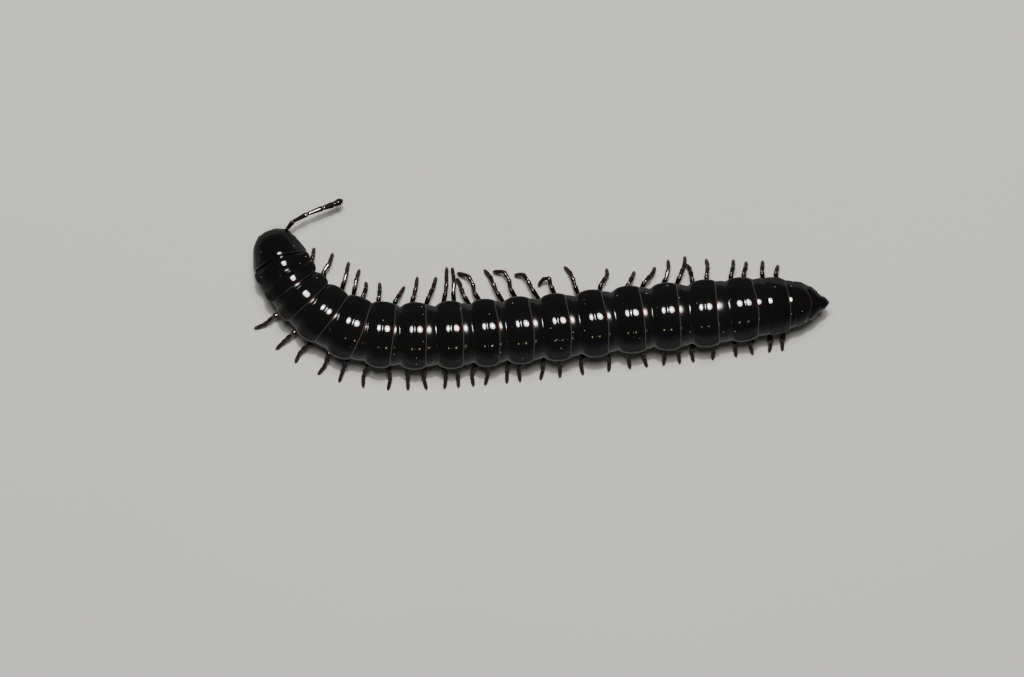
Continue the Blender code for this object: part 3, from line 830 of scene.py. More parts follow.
def mottled(name, scale, dark, light, dull, uneven=0.1, detail=3.0, **gloss):
    """A plain finish of two tones in soft patches, which its bumps may follow."""
    finish = Finish(name)
    broad = finish.grain(scale, detail)
    base = finish.blend(broad, colour(*dark), colour(*light))
    finish.look(Base_Color=base, Roughness=dull + uneven * broad, **gloss)
    return finish, broad


def belly_cuticle():
    """Brown-black belly plates, satin."""
    dark, light = (0.010, 0.0065, 0.0055), (0.040, 0.021, 0.014)
    finish, broad = mottled("belly_cuticle", 900.0, dark, light, 0.30, 0.15, IOR=1.54)
    finish.bumps(finish.grain(9000.0) + broad, 0.000004, 0.6)
    return finish.material


def leg_cuticle(name, dark, light, dull):
    """Dark red-brown shell of a limb, glossy where it faces the eye, mottled, with fine scales."""
    finish = Finish(name)
    broad = finish.grain(1500.0, 3.0)
    fine = finish.grain(11000.0, 3.0)
    base = finish.blend(finish.rise(broad, 0.35, 0.68), colour(*dark), colour(*light))
    finish.look(Base_Color=base, Roughness=dull + 0.10 * broad)
    gloss = 0.04 + 0.96 * finish.frontal() ** 5.0
    finish.look(IOR=1.15, Coat_IOR=2.0, Coat_Roughness=0.06, Coat_Weight=gloss)
    finish.bumps(fine, 0.0000008, 0.3)
    return finish.material


def joint_skin():
    """Brown skin of the joints, a little paler than the legs."""
    dark, light = (0.012, 0.0055, 0.0036), (0.050, 0.024, 0.015)
    finish, broad = mottled("joint_skin", 3000.0, dark, light, 0.42)
    finish.bumps(broad, 0.000006, 0.7)
    return finish.material


def claw_horn():
    """Amber horn."""
    dark, light = (0.030, 0.012, 0.006), (0.12, 0.055, 0.024)
    finish, broad = mottled("claw_horn", 4000.0, dark, light, 0.22, detail=2.0, Coat_Weight=0.3)
    finish.bumps(broad, 0.000003, 0.5)
    return finish.material


def bristle():
    """Dark brown bristles."""
    dark, light = (0.008, 0.0045, 0.003), (0.026, 0.016, 0.011)
    return mottled("bristle", 5000.0, dark, light, 0.36, detail=2.0)[0].material


def floor_finish():
    """Plain pale floor with the faintest tooth."""
    dark, light = (0.33, 0.328, 0.323), (0.36, 0.358, 0.353)
    finish, _ = mottled("pale_floor", 30.0, dark, light, 0.72)
    finish.bumps(finish.grain(2500.0), 0.00002, 0.4)
    return finish.material


SHELL = black_cuticle("black_cuticle")
FRONT_SHELL = black_cuticle("front_cuticle", 0.05)
TAIL_SHELL = black_cuticle("tail_cuticle", 0.30)
HEAD_SHELL = head_cuticle()
BELLY = belly_cuticle()
LEG_UPPER = leg_cuticle("leg_upper", (0.0016, 0.0010, 0.0009), (0.0050, 0.0017, 0.0012), 0.35)
LEG_SHIN = leg_cuticle("leg_shin", (0.0028, 0.0013, 0.0010), (0.0125, 0.0040, 0.0023), 0.38)
FEELER = leg_cuticle("feeler_cuticle", (0.0015, 0.0011, 0.0010), (0.0042, 0.0024, 0.0019), 0.40)
JOINT = joint_skin()
CLAW = claw_horn()
BRISTLE = bristle()

# body rings


def hind_measures(index):
    """Half width, top and underside at a ring's hind margin."""
    name, _, _, width, top, under = RINGS[index]
    if index == 0:
        return COLLUM_HIND
    return width / 2 * HIND_WIDTH.get(name, 1.0), HIND_TOP.get(name, top), under


def edge_weight(angle):
    """How far a spot round the section follows the bow of the hind margin: 0 at mid-back, -1 at the keel."""
    rise = math.sin(angle)
    return rise * rise - 1 if rise > 0 else -(1 + rise) ** 2


def hind_edge(index, angle):
    """Place of a ring's hind margin and its heading."""
    _, heading, shift, bow = EDGES[index]
    return MARGINS[index + 1] + shift + bow * edge_weight(angle), math.radians(heading)


def lean_at(angle):
    """Degrees that a spot round the section lies over the level of the keels."""
    return math.degrees(math.asin(max(-1.0, min(1.0, math.sin(angle)))))


def keel_rise(angle, station):
    """The low side keel with its groove above, as a share of the half width."""
    lean = lean_at(angle)
    window = smooth(station, 1.06, 1.20) * (1 - smooth(station, 1.90, 2.0))
    return KEEL_RISE * window * (hump(lean, 0, 9) - 0.5 * hump(lean, 20, 9))


def furrow(index, angle, station):
    """Depth of the cross furrow, in millimetres."""
    if index not in FURROWED:
        return 0.0
    rise = lean_at(angle)
    groove = FURROW_DEPTH * hump(station, FURROW_STATION, FURROW_WIDTH)
    bed = FURROW_BED_DEPTH * hump(station, FURROW_STATION, FURROW_BED_WIDTH)
    return (groove + bed) * smooth(rise, 18, 34)


def ring_spot(index, station, angle, size, drop):
    """World point for a spot of the master ring on one of the body's rings."""
    _, length, _, width, top, under = RINGS[index]
    prozonite, _, _, bow = EDGES[index]
    front, before_turn = hind_edge(index - 1, angle)
    front_middle, _ = hind_edge(index - 1, math.pi / 2)
    hind, own_turn = hind_edge(index, angle)
    waist = front_middle + prozonite + WAIST_BOW * (bow + EDGES[index - 1][3]) * edge_weight(angle)
    if station < 0:
        place = front + station * TUCK
    elif station < 1:
        place = front + station * (waist - front)
    else:
        place = waist + (station - 1) * (hind - waist)
    turn = before_turn + (own_turn - before_turn) * smooth(station, -0.1, 1.15)
    share = max(0.0, (place - front) / (hind - front))
    own_half, own_top, _ = hind_measures(index)
    before_half, before_top, before_under = hind_measures(index - 1)
    settled = smooth(station, -0.05, 1.05)
    half = width / 2 + (own_half - width / 2) * share**1.5
    half = before_half + (half - before_half) * settled
    peak = top + (own_top - top) * share
    peak = before_top + (peak - before_top) * settled
    belly = before_under + (under - before_under) * settled
    outside = size > INSIDE_SIZE or station < 1.5
    waisted = 1.0
    if outside and station < 1.5:
        waisted = WAIST_SHARE.get(index, 1.0)
        if index < MIDDLE_RING:
            waisted += (1 - waisted) * smooth(math.cos(angle), -0.1, 0.8)
        waisted = 1 + (waisted - 1) * smooth(station, 0.0, 0.9)
    spare = (1 - size) * waisted
    drop *= waisted if index > MIDDLE_RING else 1.0
    if index < RAISED_FRONTS:
        drop -= FRONT_RISE * hump(station, 0.62, 0.42) * smooth(station, -0.1, 0.3)
    drop += BACK_DIP.get(index, 0.0) * smooth(station, -0.05, 0.6) * (1 - smooth(station, 1.02, 1.24))
    keeled = 0.8 + 0.2 * smooth(station, 0.98, 1.10)
    if index in TAIL_KEELED:
        keeled *= TAIL_KEELED[index]
    across, up, level = body_section(angle, half * (1 - spare), peak - drop, belly, spare, keeled)
    if outside:
        across *= 1 + keel_rise(angle, station)
        cut = furrow(index, angle, station)
        reach = math.hypot(across, up - level)
        if cut and reach:
            across -= cut * across / reach
            up -= cut * (up - level) / reach
    return shell_spot(place, across, up, turn)


def ring_surface(index, station, angle):
    """A spot on the outside of a metazonite and the direction out of it."""
    spot = ring_spot(index, station, angle, 0.995, 0.0)
    along = ring_spot(index, station + 0.02, angle, 0.995, 0.0) - spot
    around = ring_spot(index, station, angle + 0.02, 0.995, 0.0) - spot
    out = around.cross(along).normalized()
    middle = shell_spot(MARGINS[index], 0.0, 3.4, even_heading(MARGINS[index]))
    if out.dot(spot - middle) < 0:
        out = -out
    return spot, out


def mark(piece, name, values):
    """Gives each corner of a piece a number that its finish reads."""
    marks = piece.data.attributes.new(name, "FLOAT", "POINT")
    marks.data.foreach_set("value", values)


def row_of(station, size):
    """The row of the turning that a corner of the master ring belongs to."""
    return min(RING_TURNING, key=lambda row: abs(row[0] - station) + abs(row[1] - size))


def build_rings():
    master = put_away(turned("ring_master", RING_SIDES, [row[:2] for row in RING_TURNING]))
    pore = put_away(hoop("pore_master", 0.052, 0.017))
    spots = []
    for vertex in master.vertices:
        x, y, z = vertex.co
        spots.append((math.atan2(y, x), row_of(z, math.hypot(x, y))))
    for index in range(1, len(RINGS) - 1):
        name = RINGS[index][0]
        ring = copy_of(master, f"body_{name}")
        for vertex, (angle, (station, size, drop)) in zip(ring.data.vertices, spots):
            vertex.co = ring_spot(index, station, angle, size, drop)
        last = 1.925 if index == 1 else 2.01  # ring 2 has no grey rim
        mark(ring, "station", [min(row[0], last) for _, row in spots])
        mark(ring, "around", [math.cos(angle) for angle, _ in spots])
        shell = FRONT_SHELL if index < DULL_SIDED else TAIL_SHELL if index in TAIL_KEELED else SHELL
        dress(ring, [shell])
        if index in PORE_RINGS:
            rims = Assembly([shell])
            for angle in PORE_ANGLES:
                spot, out = ring_surface(index, PORE_STATION, math.radians(angle))
                rims.add(pore, facing(out, spot), shell)
            ring = joined(ring.name, [ring, rims.made("pores")])
        fix_outward(ring)
        hand_over(ring, name, 60)


# collum


def table_at(table, place):
    """Values of a table at a place, on a smooth curve through its rows."""
    place = min(max(place, table[0][0]), table[-1][0])
    i = max(k for k in range(len(table) - 1) if table[k][0] <= place)
    first, second = table[i], table[i + 1]
    before, after = table[max(i - 1, 0)], table[min(i + 2, len(table) - 1)]
    width = second[0] - first[0]
    t = (place - first[0]) / width
    values = []
    for k in range(1, len(first)):
        leave = (second[k] - before[k]) / (second[0] - before[0]) * width
        arrive = (after[k] - first[k]) / (after[0] - first[0]) * width
        rise = second[k] - first[k]
        bend, twist = 3 * rise - 2 * leave - arrive, leave + arrive - 2 * rise
        values.append(first[k] + leave * t + bend * t**2 + twist * t**3)
    return tuple(values)


def build_collum():
    """The collum: a shield over the back of the head, its rim slightly raised."""
    fresh()
    bpy.ops.mesh.primitive_grid_add(x_subdivisions=72, y_subdivisions=44, size=2.0)
    shield = named("collum_shield")
    start, end = COLLUM_EDGE[0][0], COLLUM_EDGE[-1][0]
    stations, brims = [], []
    for vertex in shield.data.vertices:
        across, along = vertex.co.x, (vertex.co.y + 1) / 2
        along = along**1.3
        place = start + along * (end - start)
        half, top, margin = table_at(COLLUM_EDGE, place)
        angle = math.pi / 2 * (1 - across)
        side = half * signed_power(math.cos(angle), 2 / BACK_CURVE)
        up = margin + (top - margin) * abs(math.sin(angle)) ** (2 / BACK_CURVE)
        edge = min(1 - abs(across), along * 1.6, (1 - along) * 1.2)
        rim = hump(edge, 0.0, 0.04) * 0.025 - hump(edge, 0.07, 0.03) * 0.02
        rim *= smooth(along, 0.03, 0.20)
        shifted = EDGES[0][2] + EDGES[0][3] * edge_weight(angle)
        stations.append(1.93 - min(0.90, (1 - along) * 1.1))
        brims.append(1 - smooth(min(1 - abs(across), along * 2.2), 0.012, 0.035))
        turn = math.radians(FRONT_HEADING + (EDGES[0][1] - FRONT_HEADING) * along)
        vertex.co = shell_spot(place + shifted * along**1.5, side * (1 + rim), up + rim, turn)
    mark(shield, "station", stations)
    mark(shield, "brim", brims)
    fix_outward(shield)
    if shield.data.polygons[len(shield.data.polygons) // 2].normal.z < 0:
        shield.data.flip_normals()
    wall = shield.modifiers.new("wall", "SOLIDIFY")
    wall.thickness = COLLUM_WALL * MM
    wall.offset = -1
    bpy.ops.object.modifier_apply(modifier="wall")
    edge = shield.modifiers.new("edge", "BEVEL")
    edge.width = 0.03 * MM
    edge.segments = 2
    edge.limit_method = "ANGLE"
    edge.angle_limit = math.radians(50)
    bpy.ops.object.modifier_apply(modifier="edge")
    dress(shield, [FRONT_SHELL])
    hand_over(shield, "collum", 45)


# head


def head_spot(forward, right, up):
    """World point for a spot in the head's axes."""
    point, tailward, aside = axes_at(0.0)
    return (point - tailward * forward + aside * right + Vector((0, 0, up))) * MM


def head_way(forward, right, up):
    _, tailward, aside = axes_at(0.0)
    return (aside * right - tailward * forward + Vector((0, 0, up))).normalized()


def turned_head(forward, right, up):
    """Where a spot of the head lies with the head turned a little on its neck."""
    turn = math.radians(HEAD_TURN)
    reach = forward - HEAD_PIVOT
    ahead = HEAD_PIVOT + reach * math.cos(turn) - right * math.sin(turn)
    return ahead, right * math.cos(turn) + reach * math.sin(turn) + HEAD_SHIFT, up


def place_on_head(piece):
    for vertex in piece.data.vertices:
        vertex.co = head_spot(*turned_head(*vertex.co))
    return fix_outward(piece)


def capsule():
    """Cranium and face: a high dome that narrows below the sockets to the lip."""
    dome = rounded("capsule", 128, 88)
    for vertex in dome.data.vertices:
        x, y, z = vertex.co
        z = signed_power(z, CROWN_POWER) if z > 0 else z
        low = smooth(-z, 0.20, 0.95) * smooth(x, -0.35, 0.25)
        forward = CRANIUM_MIDDLE[0] + CRANIUM_HALF[0] * x + 0.22 * low * (1 - 0.5 * abs(y))
        right = CRANIUM_HALF[1] * y * (1 - 0.34 * low)
        up = CRANIUM_MIDDLE[2] + CRANIUM_HALF[2] * z
        crown = smooth(z, 0.05, 0.35) * smooth(x, -0.9, -0.2)
        crease = 0.022 * hump(right, 0.0, 0.035) * crown
        brow = 0.014 * hump(z, -0.16, 0.12) * hump(abs(y), 0.30, 0.22) * smooth(x, 0.3, 0.7)
        dent = 0.035 * hump(z, -0.30, 0.16) * hump(y, 0.0, 0.25) * smooth(x, 0.3, 0.7)
        side_groove = 0.05 * hump(abs(y), 0.72, 0.05) * smooth(x, 0.1, 0.4) * smooth(-z, -0.15, 0.15)
        pull = 1 - crease - side_groove
        forward = CRANIUM_MIDDLE[0] + (forward - CRANIUM_MIDDLE[0]) * pull + brow - dent
        up = CRANIUM_MIDDLE[2] + (up - CRANIUM_MIDDLE[2]) * pull
        vertex.co = (forward, right * pull, up)
    return place_on_head(dome)


def blob(name, middle, half, turns=40, rows=26, power=1.0, tilt=0.0):
    """A rounded plate of the head: a ball flattened and set at its place."""
    piece = rounded(name, turns, rows)
    turn = Matrix.Rotation(math.radians(tilt), 3, "Y")
    for vertex in piece.data.vertices:
        shaped = Vector([signed_power(c, power) * h for c, h in zip(vertex.co, half)])
        vertex.co = turn @ shaped + Vector(middle)
    return place_on_head(piece)


def mouthparts():
    """Lip with its teeth, jaws' side plates and the plate that closes the mouth below."""
    pieces = [
        blob("lip", (0.04, 0.0, 1.29), (0.15, 0.52, 0.19), power=0.85, tilt=-12),
        blob("chin", (-0.62, 0.0, 1.26), (0.50, 0.34, 0.17), power=0.7),
        blob("throat", (-1.02, 0.0, 1.46), (0.22, 0.52, 0.22), power=0.8),
    ]
    for side in (-1, 1):
        pieces.append(blob("jaw", (-0.55, side * 0.78, 1.70), (0.44, 0.36, 0.50), power=0.85, tilt=18))
        pieces.append(blob("hinge", (-0.90, side * 0.98, 2.08), (0.54, 0.42, 0.50), power=0.9))
        pieces.append(blob("tip", (-0.10, side * 0.44, 1.31), (0.20, 0.20, 0.22), power=0.9))
        pieces.append(blob("palp", (-0.52, side * 0.46, 1.28), (0.46, 0.16, 0.16), power=0.75))
        pieces.append(blob("knob", (-0.10, side * 0.30, 1.18), (0.09, 0.09, 0.08), 16, 10))
        pieces.append(blob("tongue", (-0.30, side * 0.10, 1.13), (0.22, 0.09, 0.07), 20, 12))
    return pieces


def build_head():
    """Head with its sockets, the teeth and fringe of the lip, face bristles and the neck's skin."""
    finishes = [HEAD_SHELL, JOINT, CLAW, BRISTLE]
    pieces = [capsule()] + mouthparts()
    for piece in pieces:
        dress(piece, finishes)
    rim = put_away(hoop("socket_rim", 0.245, 0.040, 36, 10))
    floor = put_away(rounded("socket_floor", 24, 12))
    tooth = put_away(tapered("lip_tooth", 8, 0.045, 0.012, 0.09))
    hair = put_away(tapered("head_hair", 4, 0.010, 0.002, 0.20))
    folds = [(k / 8, 1 + 0.03 * math.cos(k * math.pi)) for k in range(9)]
    collar = put_away(turned("neck_master", 40, folds))
    extras = Assembly(finishes)
    for side in (-1, 1):
        aim = head_way(SOCKET_AIM[0] + 0.1, side * SOCKET_AIM[1], SOCKET_AIM[2])
        spot = head_spot(*turned_head(-0.08, side * SOCKET_OUT[side], 2.53))
        extras.add(rim, facing(aim, spot), HEAD_SHELL)
        extras.add(floor, facing(aim, spot, 0.22, 0.05), JOINT)
    for side in (-1, 0, 1):
        spot = head_spot(*turned_head(0.10, side * 0.085, 1.13))
        extras.add(tooth, facing(head_way(0.1, 0, -1), spot), CLAW)
    for k in range(LIP_FRINGE):
        right = -0.46 + 0.92 * k / (LIP_FRINGE - 1)
        spot = head_spot(*turned_head(0.16 - 0.28 * right * right, right, 1.28 + 0.03 * (k % 2)))
        aim = head_way(0.9, 0.5 * right, -0.75 + chance.uniform(-0.1, 0.1))
        extras.add(hair, facing(aim, spot, 1, chance.uniform(0.7, 1.1)), BRISTLE)
    for forward, out, up in FACE_BRISTLES:
        for right in (-out, out):
            aim = head_way(0.7 + forward, right, 0.5 * (up - 2.1))
            spot = head_spot(*turned_head(forward, right, up))
            extras.add(hair, facing(aim, spot, 1, chance.uniform(0.5, 0.9)), BRISTLE)
    _, tailward, _ = axes_at(0.0)
    extras.add(collar, facing(tailward, head_spot(-0.95, 0.0, 2.50), 0.78, 0.95), JOINT)
    pieces.append(extras.made("head_extras"))
    hand_over(joined("head_capsule", pieces), "head", 50)


# limbs


def curve_through(points, steps=24):
    """Fine points of a smooth curve through the given ones."""
    ends = [points[0] * 2 - points[1]] + points + [points[-1] * 2 - points[-2]]
    fine = []
    for before, start, end, after in zip(ends, ends[1:], ends[2:], ends[3:]):
        for k in range(steps):
            t = k / steps
            bend = 2 * before - 5 * start + 4 * end - after
            twist = 3 * start - before - 3 * end + after
            fine.append(0.5 * (2 * start + (end - before) * t + bend * t**2 + twist * t**3))
    fine.append(points[-1].copy())
    return fine


def spread(fine, shares):
    """Points at given shares of a fine line's length."""
    reach = [0.0]
    for first, second in zip(fine, fine[1:]):
        reach.append(reach[-1] + (second - first).length)
    found = []
    for share in shares:
        want = share * reach[-1]
        i = max(k for k in range(len(reach) - 1) if reach[k] <= want + 1e-12)
        step = reach[i + 1] - reach[i]
        found.append(fine[i].lerp(fine[i + 1], (want - reach[i]) / step))
    return found


def running_shares(shares):
    """Where each piece of a limb starts and the last one ends, as shares of the whole."""
    total, result = sum(shares), [0.0]
    for share in shares:
        result.append(result[-1] + share / total)
    result[-1] = 1.0
    return result


# masters of the limbs: place along the piece, size
PODOMERE_TURNING = (
    (0.00, 0.42), (0.01, 0.58), (0.05, 0.70), (0.16, 0.76), (0.40, 0.82), (0.66, 0.92),
    (0.84, 1.00), (0.93, 1.00), (0.975, 0.90), (0.99, 0.72), (0.985, 0.50),
)
TARSUS_TURNING = (
    (0.00, 0.50), (0.01, 0.70), (0.06, 0.82), (0.22, 0.94), (0.45, 1.00), (0.70, 0.98),
    (0.88, 0.82), (0.97, 0.64), (1.00, 0.40),
)
CLAW_TURNING = ((0.0, 1.0), (0.25, 0.85), (0.5, 0.62), (0.75, 0.38), (0.93, 0.16), (1.0, 0.04))
JOINT_TURNING = ((-0.5, 0.60), (-0.48, 0.86), (-0.2, 1.0), (0.2, 1.0), (0.48, 0.86), (0.5, 0.60))
LEG_SIDES = 12


def curved(mesh, bend):
    """Bends a claw's master towards -X as it rises."""
    for vertex in mesh.vertices:
        vertex.co.x -= bend * vertex.co.z**2
    return mesh


def arched_levels(spots):
    """Heights of a right leg from claw to body: it runs out nearly level, then falls to its claw."""
    runs = [0.0]
    for k in range(len(spots) - 1, 0, -1):
        runs.append(runs[-1] + (spots[k] - spots[k - 1]).length)
    runs.reverse()
    knee = KNEE_SHARE * runs[0]
    levels = []
    for spot, run in zip(spots, runs):
        fall = RUN_FALL * (spot.y - spots[-1].y) * min(1.0, knee / max(run, 0.001))
        bent = max(0.0, (run - knee) / (runs[0] - knee)) ** 1.6
        levels.append(CLAW_LEVEL + (LEG_EDGE_LEVEL - fall - CLAW_LEVEL) * (1 - bent))
    return levels


def leg_knots(pair, side, place):
    """World points, in millimetres, that a leg's middle line passes through, from hip to claw."""
    point, tailward, right = axes_at(place)
    under = RINGS[leg_ring(pair)][5]
    steps = RIGHT_LEGS[pair]
    if side < 0 and pair >= FOLDED_PAIRS:
        share = pair / (len(RIGHT_LEGS) - 1)
        out = LEFT_OUT_FRONT + share * (LEFT_OUT_TAIL - LEFT_OUT_FRONT)
        ahead = LEFT_AHEAD + LEFT_SWING_SHARE * steps[0][0]
        sway = 0.12 * math.sin(pair * 2.1)
        steps = (
            (ahead, out),
            (0.93 * ahead + sway, out - 0.42),
            (0.82 * ahead + sway, out - 0.95),
            (0.68 * ahead, 2.42),
            (0.50 * ahead, 1.86),
        )
    lift = LIFTED.get(pair, 0.0) if side > 0 else 0.0
    if pair < FOLDED_PAIRS:
        levels = FOLDED_LEVELS
    elif side < 0:
        levels = KNEE_LEVELS
    else:
        levels = arched_levels([right * out - tailward * ahead for ahead, out in steps])
    edge_ahead, edge_out = steps[-1]
    knots = [
        (0.0, HIP_OUT, under - HIP_DROP),
        (0.10 * edge_ahead, KNEE_OUT, under - 0.66),
        (0.45 * edge_ahead, 0.5 * (KNEE_OUT + edge_out) + 0.05, under - 0.58),
    ]
    for k in range(len(steps) - 1, -1, -1):
        share = 1 - levels[k] / LIFT_END
        knots.append((steps[k][0], steps[k][1], levels[k] + lift * share))
    return [point - tailward * a + right * (side * o) + Vector((0, 0, z)) for a, o, z in knots]


def leg_ring(pair):
    """The ring, counted from the collum, that a pair of legs stands on."""
    return pair + 1 if pair < SINGLE_PAIRS else SINGLE_PAIRS + 1 + (pair - SINGLE_PAIRS) // 2


def hip_place(pair):
    ring = leg_ring(pair)
    share = SINGLE_HIP if pair < SINGLE_PAIRS else DOUBLE_HIPS[(pair - SINGLE_PAIRS) % 2]
    return MARGINS[ring] + share * RINGS[ring][1]


def any_side(along):
    """A random direction square to a line."""
    aside = along.orthogonal().normalized()
    turn = Matrix.Rotation(chance.uniform(0, 2 * math.pi), 3, along)
    return turn @ aside


def add_hairs(assembly, hair, start, end, radius, count, length, lean):
    """Bristles scattered over one podomere, leaning towards its far end."""
    along = (end - start).normalized()
    for _ in range(count):
        out = any_side(along)
        spot = start.lerp(end, chance.uniform(0.12, 0.97)) + out * radius * 0.8
        aim = (out + along * lean * chance.uniform(0.7, 1.3)).normalized()
        size = length * chance.uniform(0.6, 1.3)
        if spot.z + aim.z * size * 0.24 > 0.02:
            assembly.add(hair, facing(aim, spot * MM, 1, size), BRISTLE)


def add_leg(assembly, masters, knots):
    """One leg: its podomeres with the skin between them, their bristles and the claw."""
    joints = spread(curve_through(knots), running_shares([row[1] for row in PODOMERES]))
    for k, (name, _, thick, bristles) in enumerate(PODOMERES):
        start, end = joints[k], joints[k + 1]
        radius = thick / 2
        last = name == "tarsus"
        aim = end - start
        finish = BELLY if k == 0 else LEG_UPPER if k < 3 else LEG_SHIN
        master = masters["tarsus" if last else "podomere"]
        assembly.add(master, facing(aim, start * MM, radius, aim.length), finish)
        if k:
            turn = (joints[k + 1] - joints[k - 1]).normalized()
            assembly.add(masters["joint"], facing(turn, start * MM, radius * 0.70, radius * 0.9), JOINT)
        add_hairs(assembly, masters["hair"], start, end, radius, bristles, 0.42 if last else 0.5, 0.9)
    along = (joints[-1] - joints[-2]).normalized()
    reach = Vector((along.x, along.y, 0)).normalized()
    aim = (along + reach * 0.2).normalized()
    start = joints[-1] - along * 0.06
    assembly.add(masters["claw"], facing(aim, start * MM, 0.042, 0.20), CLAW)


def belly_plate(assembly, masters, pair, place):
    """The plate that the two coxae stand on, with the rims round them and the breathing holes."""
    under = RINGS[leg_ring(pair)][5]
    point, tailward, right = axes_at(place)
    length = 0.30 if pair < SINGLE_PAIRS else 0.46
    turn = Matrix((tailward, right, Vector((0, 0, 1)))).transposed().to_4x4()
    middle = (point + Vector((0, 0, under - 0.14))) * MM
    plate = Matrix.Translation(middle) @ turn @ Matrix.Diagonal((length * MM, 0.66 * MM, 0.27 * MM, 1))
    assembly.add(masters["plate"], plate, BELLY)
    for side in (-1, 1):
        hip = point + right * (side * 0.40) + Vector((0, 0, under - 0.36))
        aim = right * (side * 0.45) + Vector((0, 0, -0.9))
        assembly.add(masters["rim"], facing(aim, hip * MM), BELLY)
        hole = point + right * (side * 0.70) + tailward * (0.30 * length) + Vector((0, 0, under - 0.10))
        aim = right * (side * 0.9) + Vector((0, 0, -0.45))
        assembly.add(masters["hole"], facing(aim, hole * MM), BELLY)
        hair = point + right * (side * 0.16) + Vector((0, 0, under - 0.38))
        assembly.add(masters["hair"], facing((0, 0, -1), hair * MM, 1, 0.6), BRISTLE)


def plate_master():
    """A block with softened corners."""
    fresh()
    bpy.ops.mesh.primitive_cube_add(size=2.0)
    block = bpy.context.object
    bpy.ops.object.mode_set(mode="EDIT")
    bpy.ops.mesh.select_all(action="SELECT")
    bpy.ops.mesh.bevel(offset=0.42, segments=5, profile=0.5, affect="EDGES")
    bpy.ops.object.mode_set(mode="OBJECT")
    for vertex in block.data.vertices:
        below = smooth(-vertex.co.z, 0.2, 1.0)
        vertex.co.y *= 1 - 0.18 * below
        vertex.co.z += 0.22 * below * hump(vertex.co.y, 0.0, 0.16)
    return put_away(block)


def build_legs():
    masters = {
        "podomere": put_away(turned("podomere_master", LEG_SIDES, PODOMERE_TURNING)),
        "tarsus": put_away(turned("tarsus_master", LEG_SIDES, TARSUS_TURNING)),
        "joint": put_away(turned("joint_master", LEG_SIDES, JOINT_TURNING)),
        "claw": curved(put_away(turned("claw_master", 8, CLAW_TURNING)), 0.9),
        "hair": put_away(tapered("leg_hair", 3, 0.0045, 0.0008, 0.24)),
        "plate": plate_master(),
        "rim": put_away(hoop("coxa_rim", 0.165, 0.030, 20, 8)),
        "hole": put_away(hoop("breathing_rim", 0.040, 0.013, 14, 6)),
    }
    finishes = [BELLY, LEG_UPPER, LEG_SHIN, JOINT, CLAW, BRISTLE]
    for pair in range(len(RIGHT_LEGS)):
        place = hip_place(pair)
        assembly = Assembly(finishes)
        belly_plate(assembly, masters, pair, place)
        for side in (-1, 1):
            add_leg(assembly, masters, leg_knots(pair, side, place))
        legs = assembly.made(f"legs_{pair + 1:02d}")
        hand_over(legs, f"leg_pair_{pair + 1:02d}", 50)


# antennae


def build_antenna(name, node, side, way, reach, dip):
    """A club-shaped feeler of eight antennomeres, downy, with four cones at its end.

    It leaves its socket straight for the reach, aimed lower by the dip, and then takes its way."""
    masters = {
        "podomere": put_away(turned("feeler_master", 16, PODOMERE_TURNING)),
        "joint": put_away(turned("feeler_joint", 16, JOINT_TURNING)),
        "hair": put_away(tapered("feeler_hair", 3, 0.0042, 0.0008, 0.15)),
        "cone": put_away(tapered("feeler_cone", 10, 0.028, 0.016, 0.075)),
    }
    base = Vector(turned_head(-0.15, side * (SOCKET_OUT[side] - 0.08), 2.50))
    aim = Vector((SOCKET_AIM[0], side * SOCKET_AIM[1], SOCKET_AIM[2] - dip)).normalized()
    local = [base, base + aim * reach] + [Vector((f, side * o, u)) for f, o, u in way]
    knots = [head_spot(*spot) / MM for spot in local]
    joints = spread(curve_through(knots), running_shares([row[0] for row in ANTENNOMERES]))
    assembly = Assembly([FEELER, JOINT, BRISTLE])
    for k, (_, thick, bristles) in enumerate(ANTENNOMERES):
        start, end = joints[k], joints[k + 1]
        radius = thick / 2
        aim = end - start
        assembly.add(masters["podomere"], facing(aim, start * MM, radius, aim.length), FEELER)
        if k:
            assembly.add(masters["joint"], facing(aim, start * MM, radius * 0.66, radius * 0.7), JOINT)
        add_hairs(assembly, masters["hair"], start, end, radius, bristles, 0.62, 1.1)
    along = (joints[-1] - joints[-2]).normalized()
    first = along.orthogonal().normalized()
    second = along.cross(first)
    for a, b in ((1, 1), (1, -1), (-1, -1), (-1, 1)):
        spot = joints[-1] + (first * a + second * b) * 0.032 - along * 0.01
        assembly.add(masters["cone"], facing(along, spot * MM), JOINT)
    hand_over(assembly.made(name), node, 50)


# tail


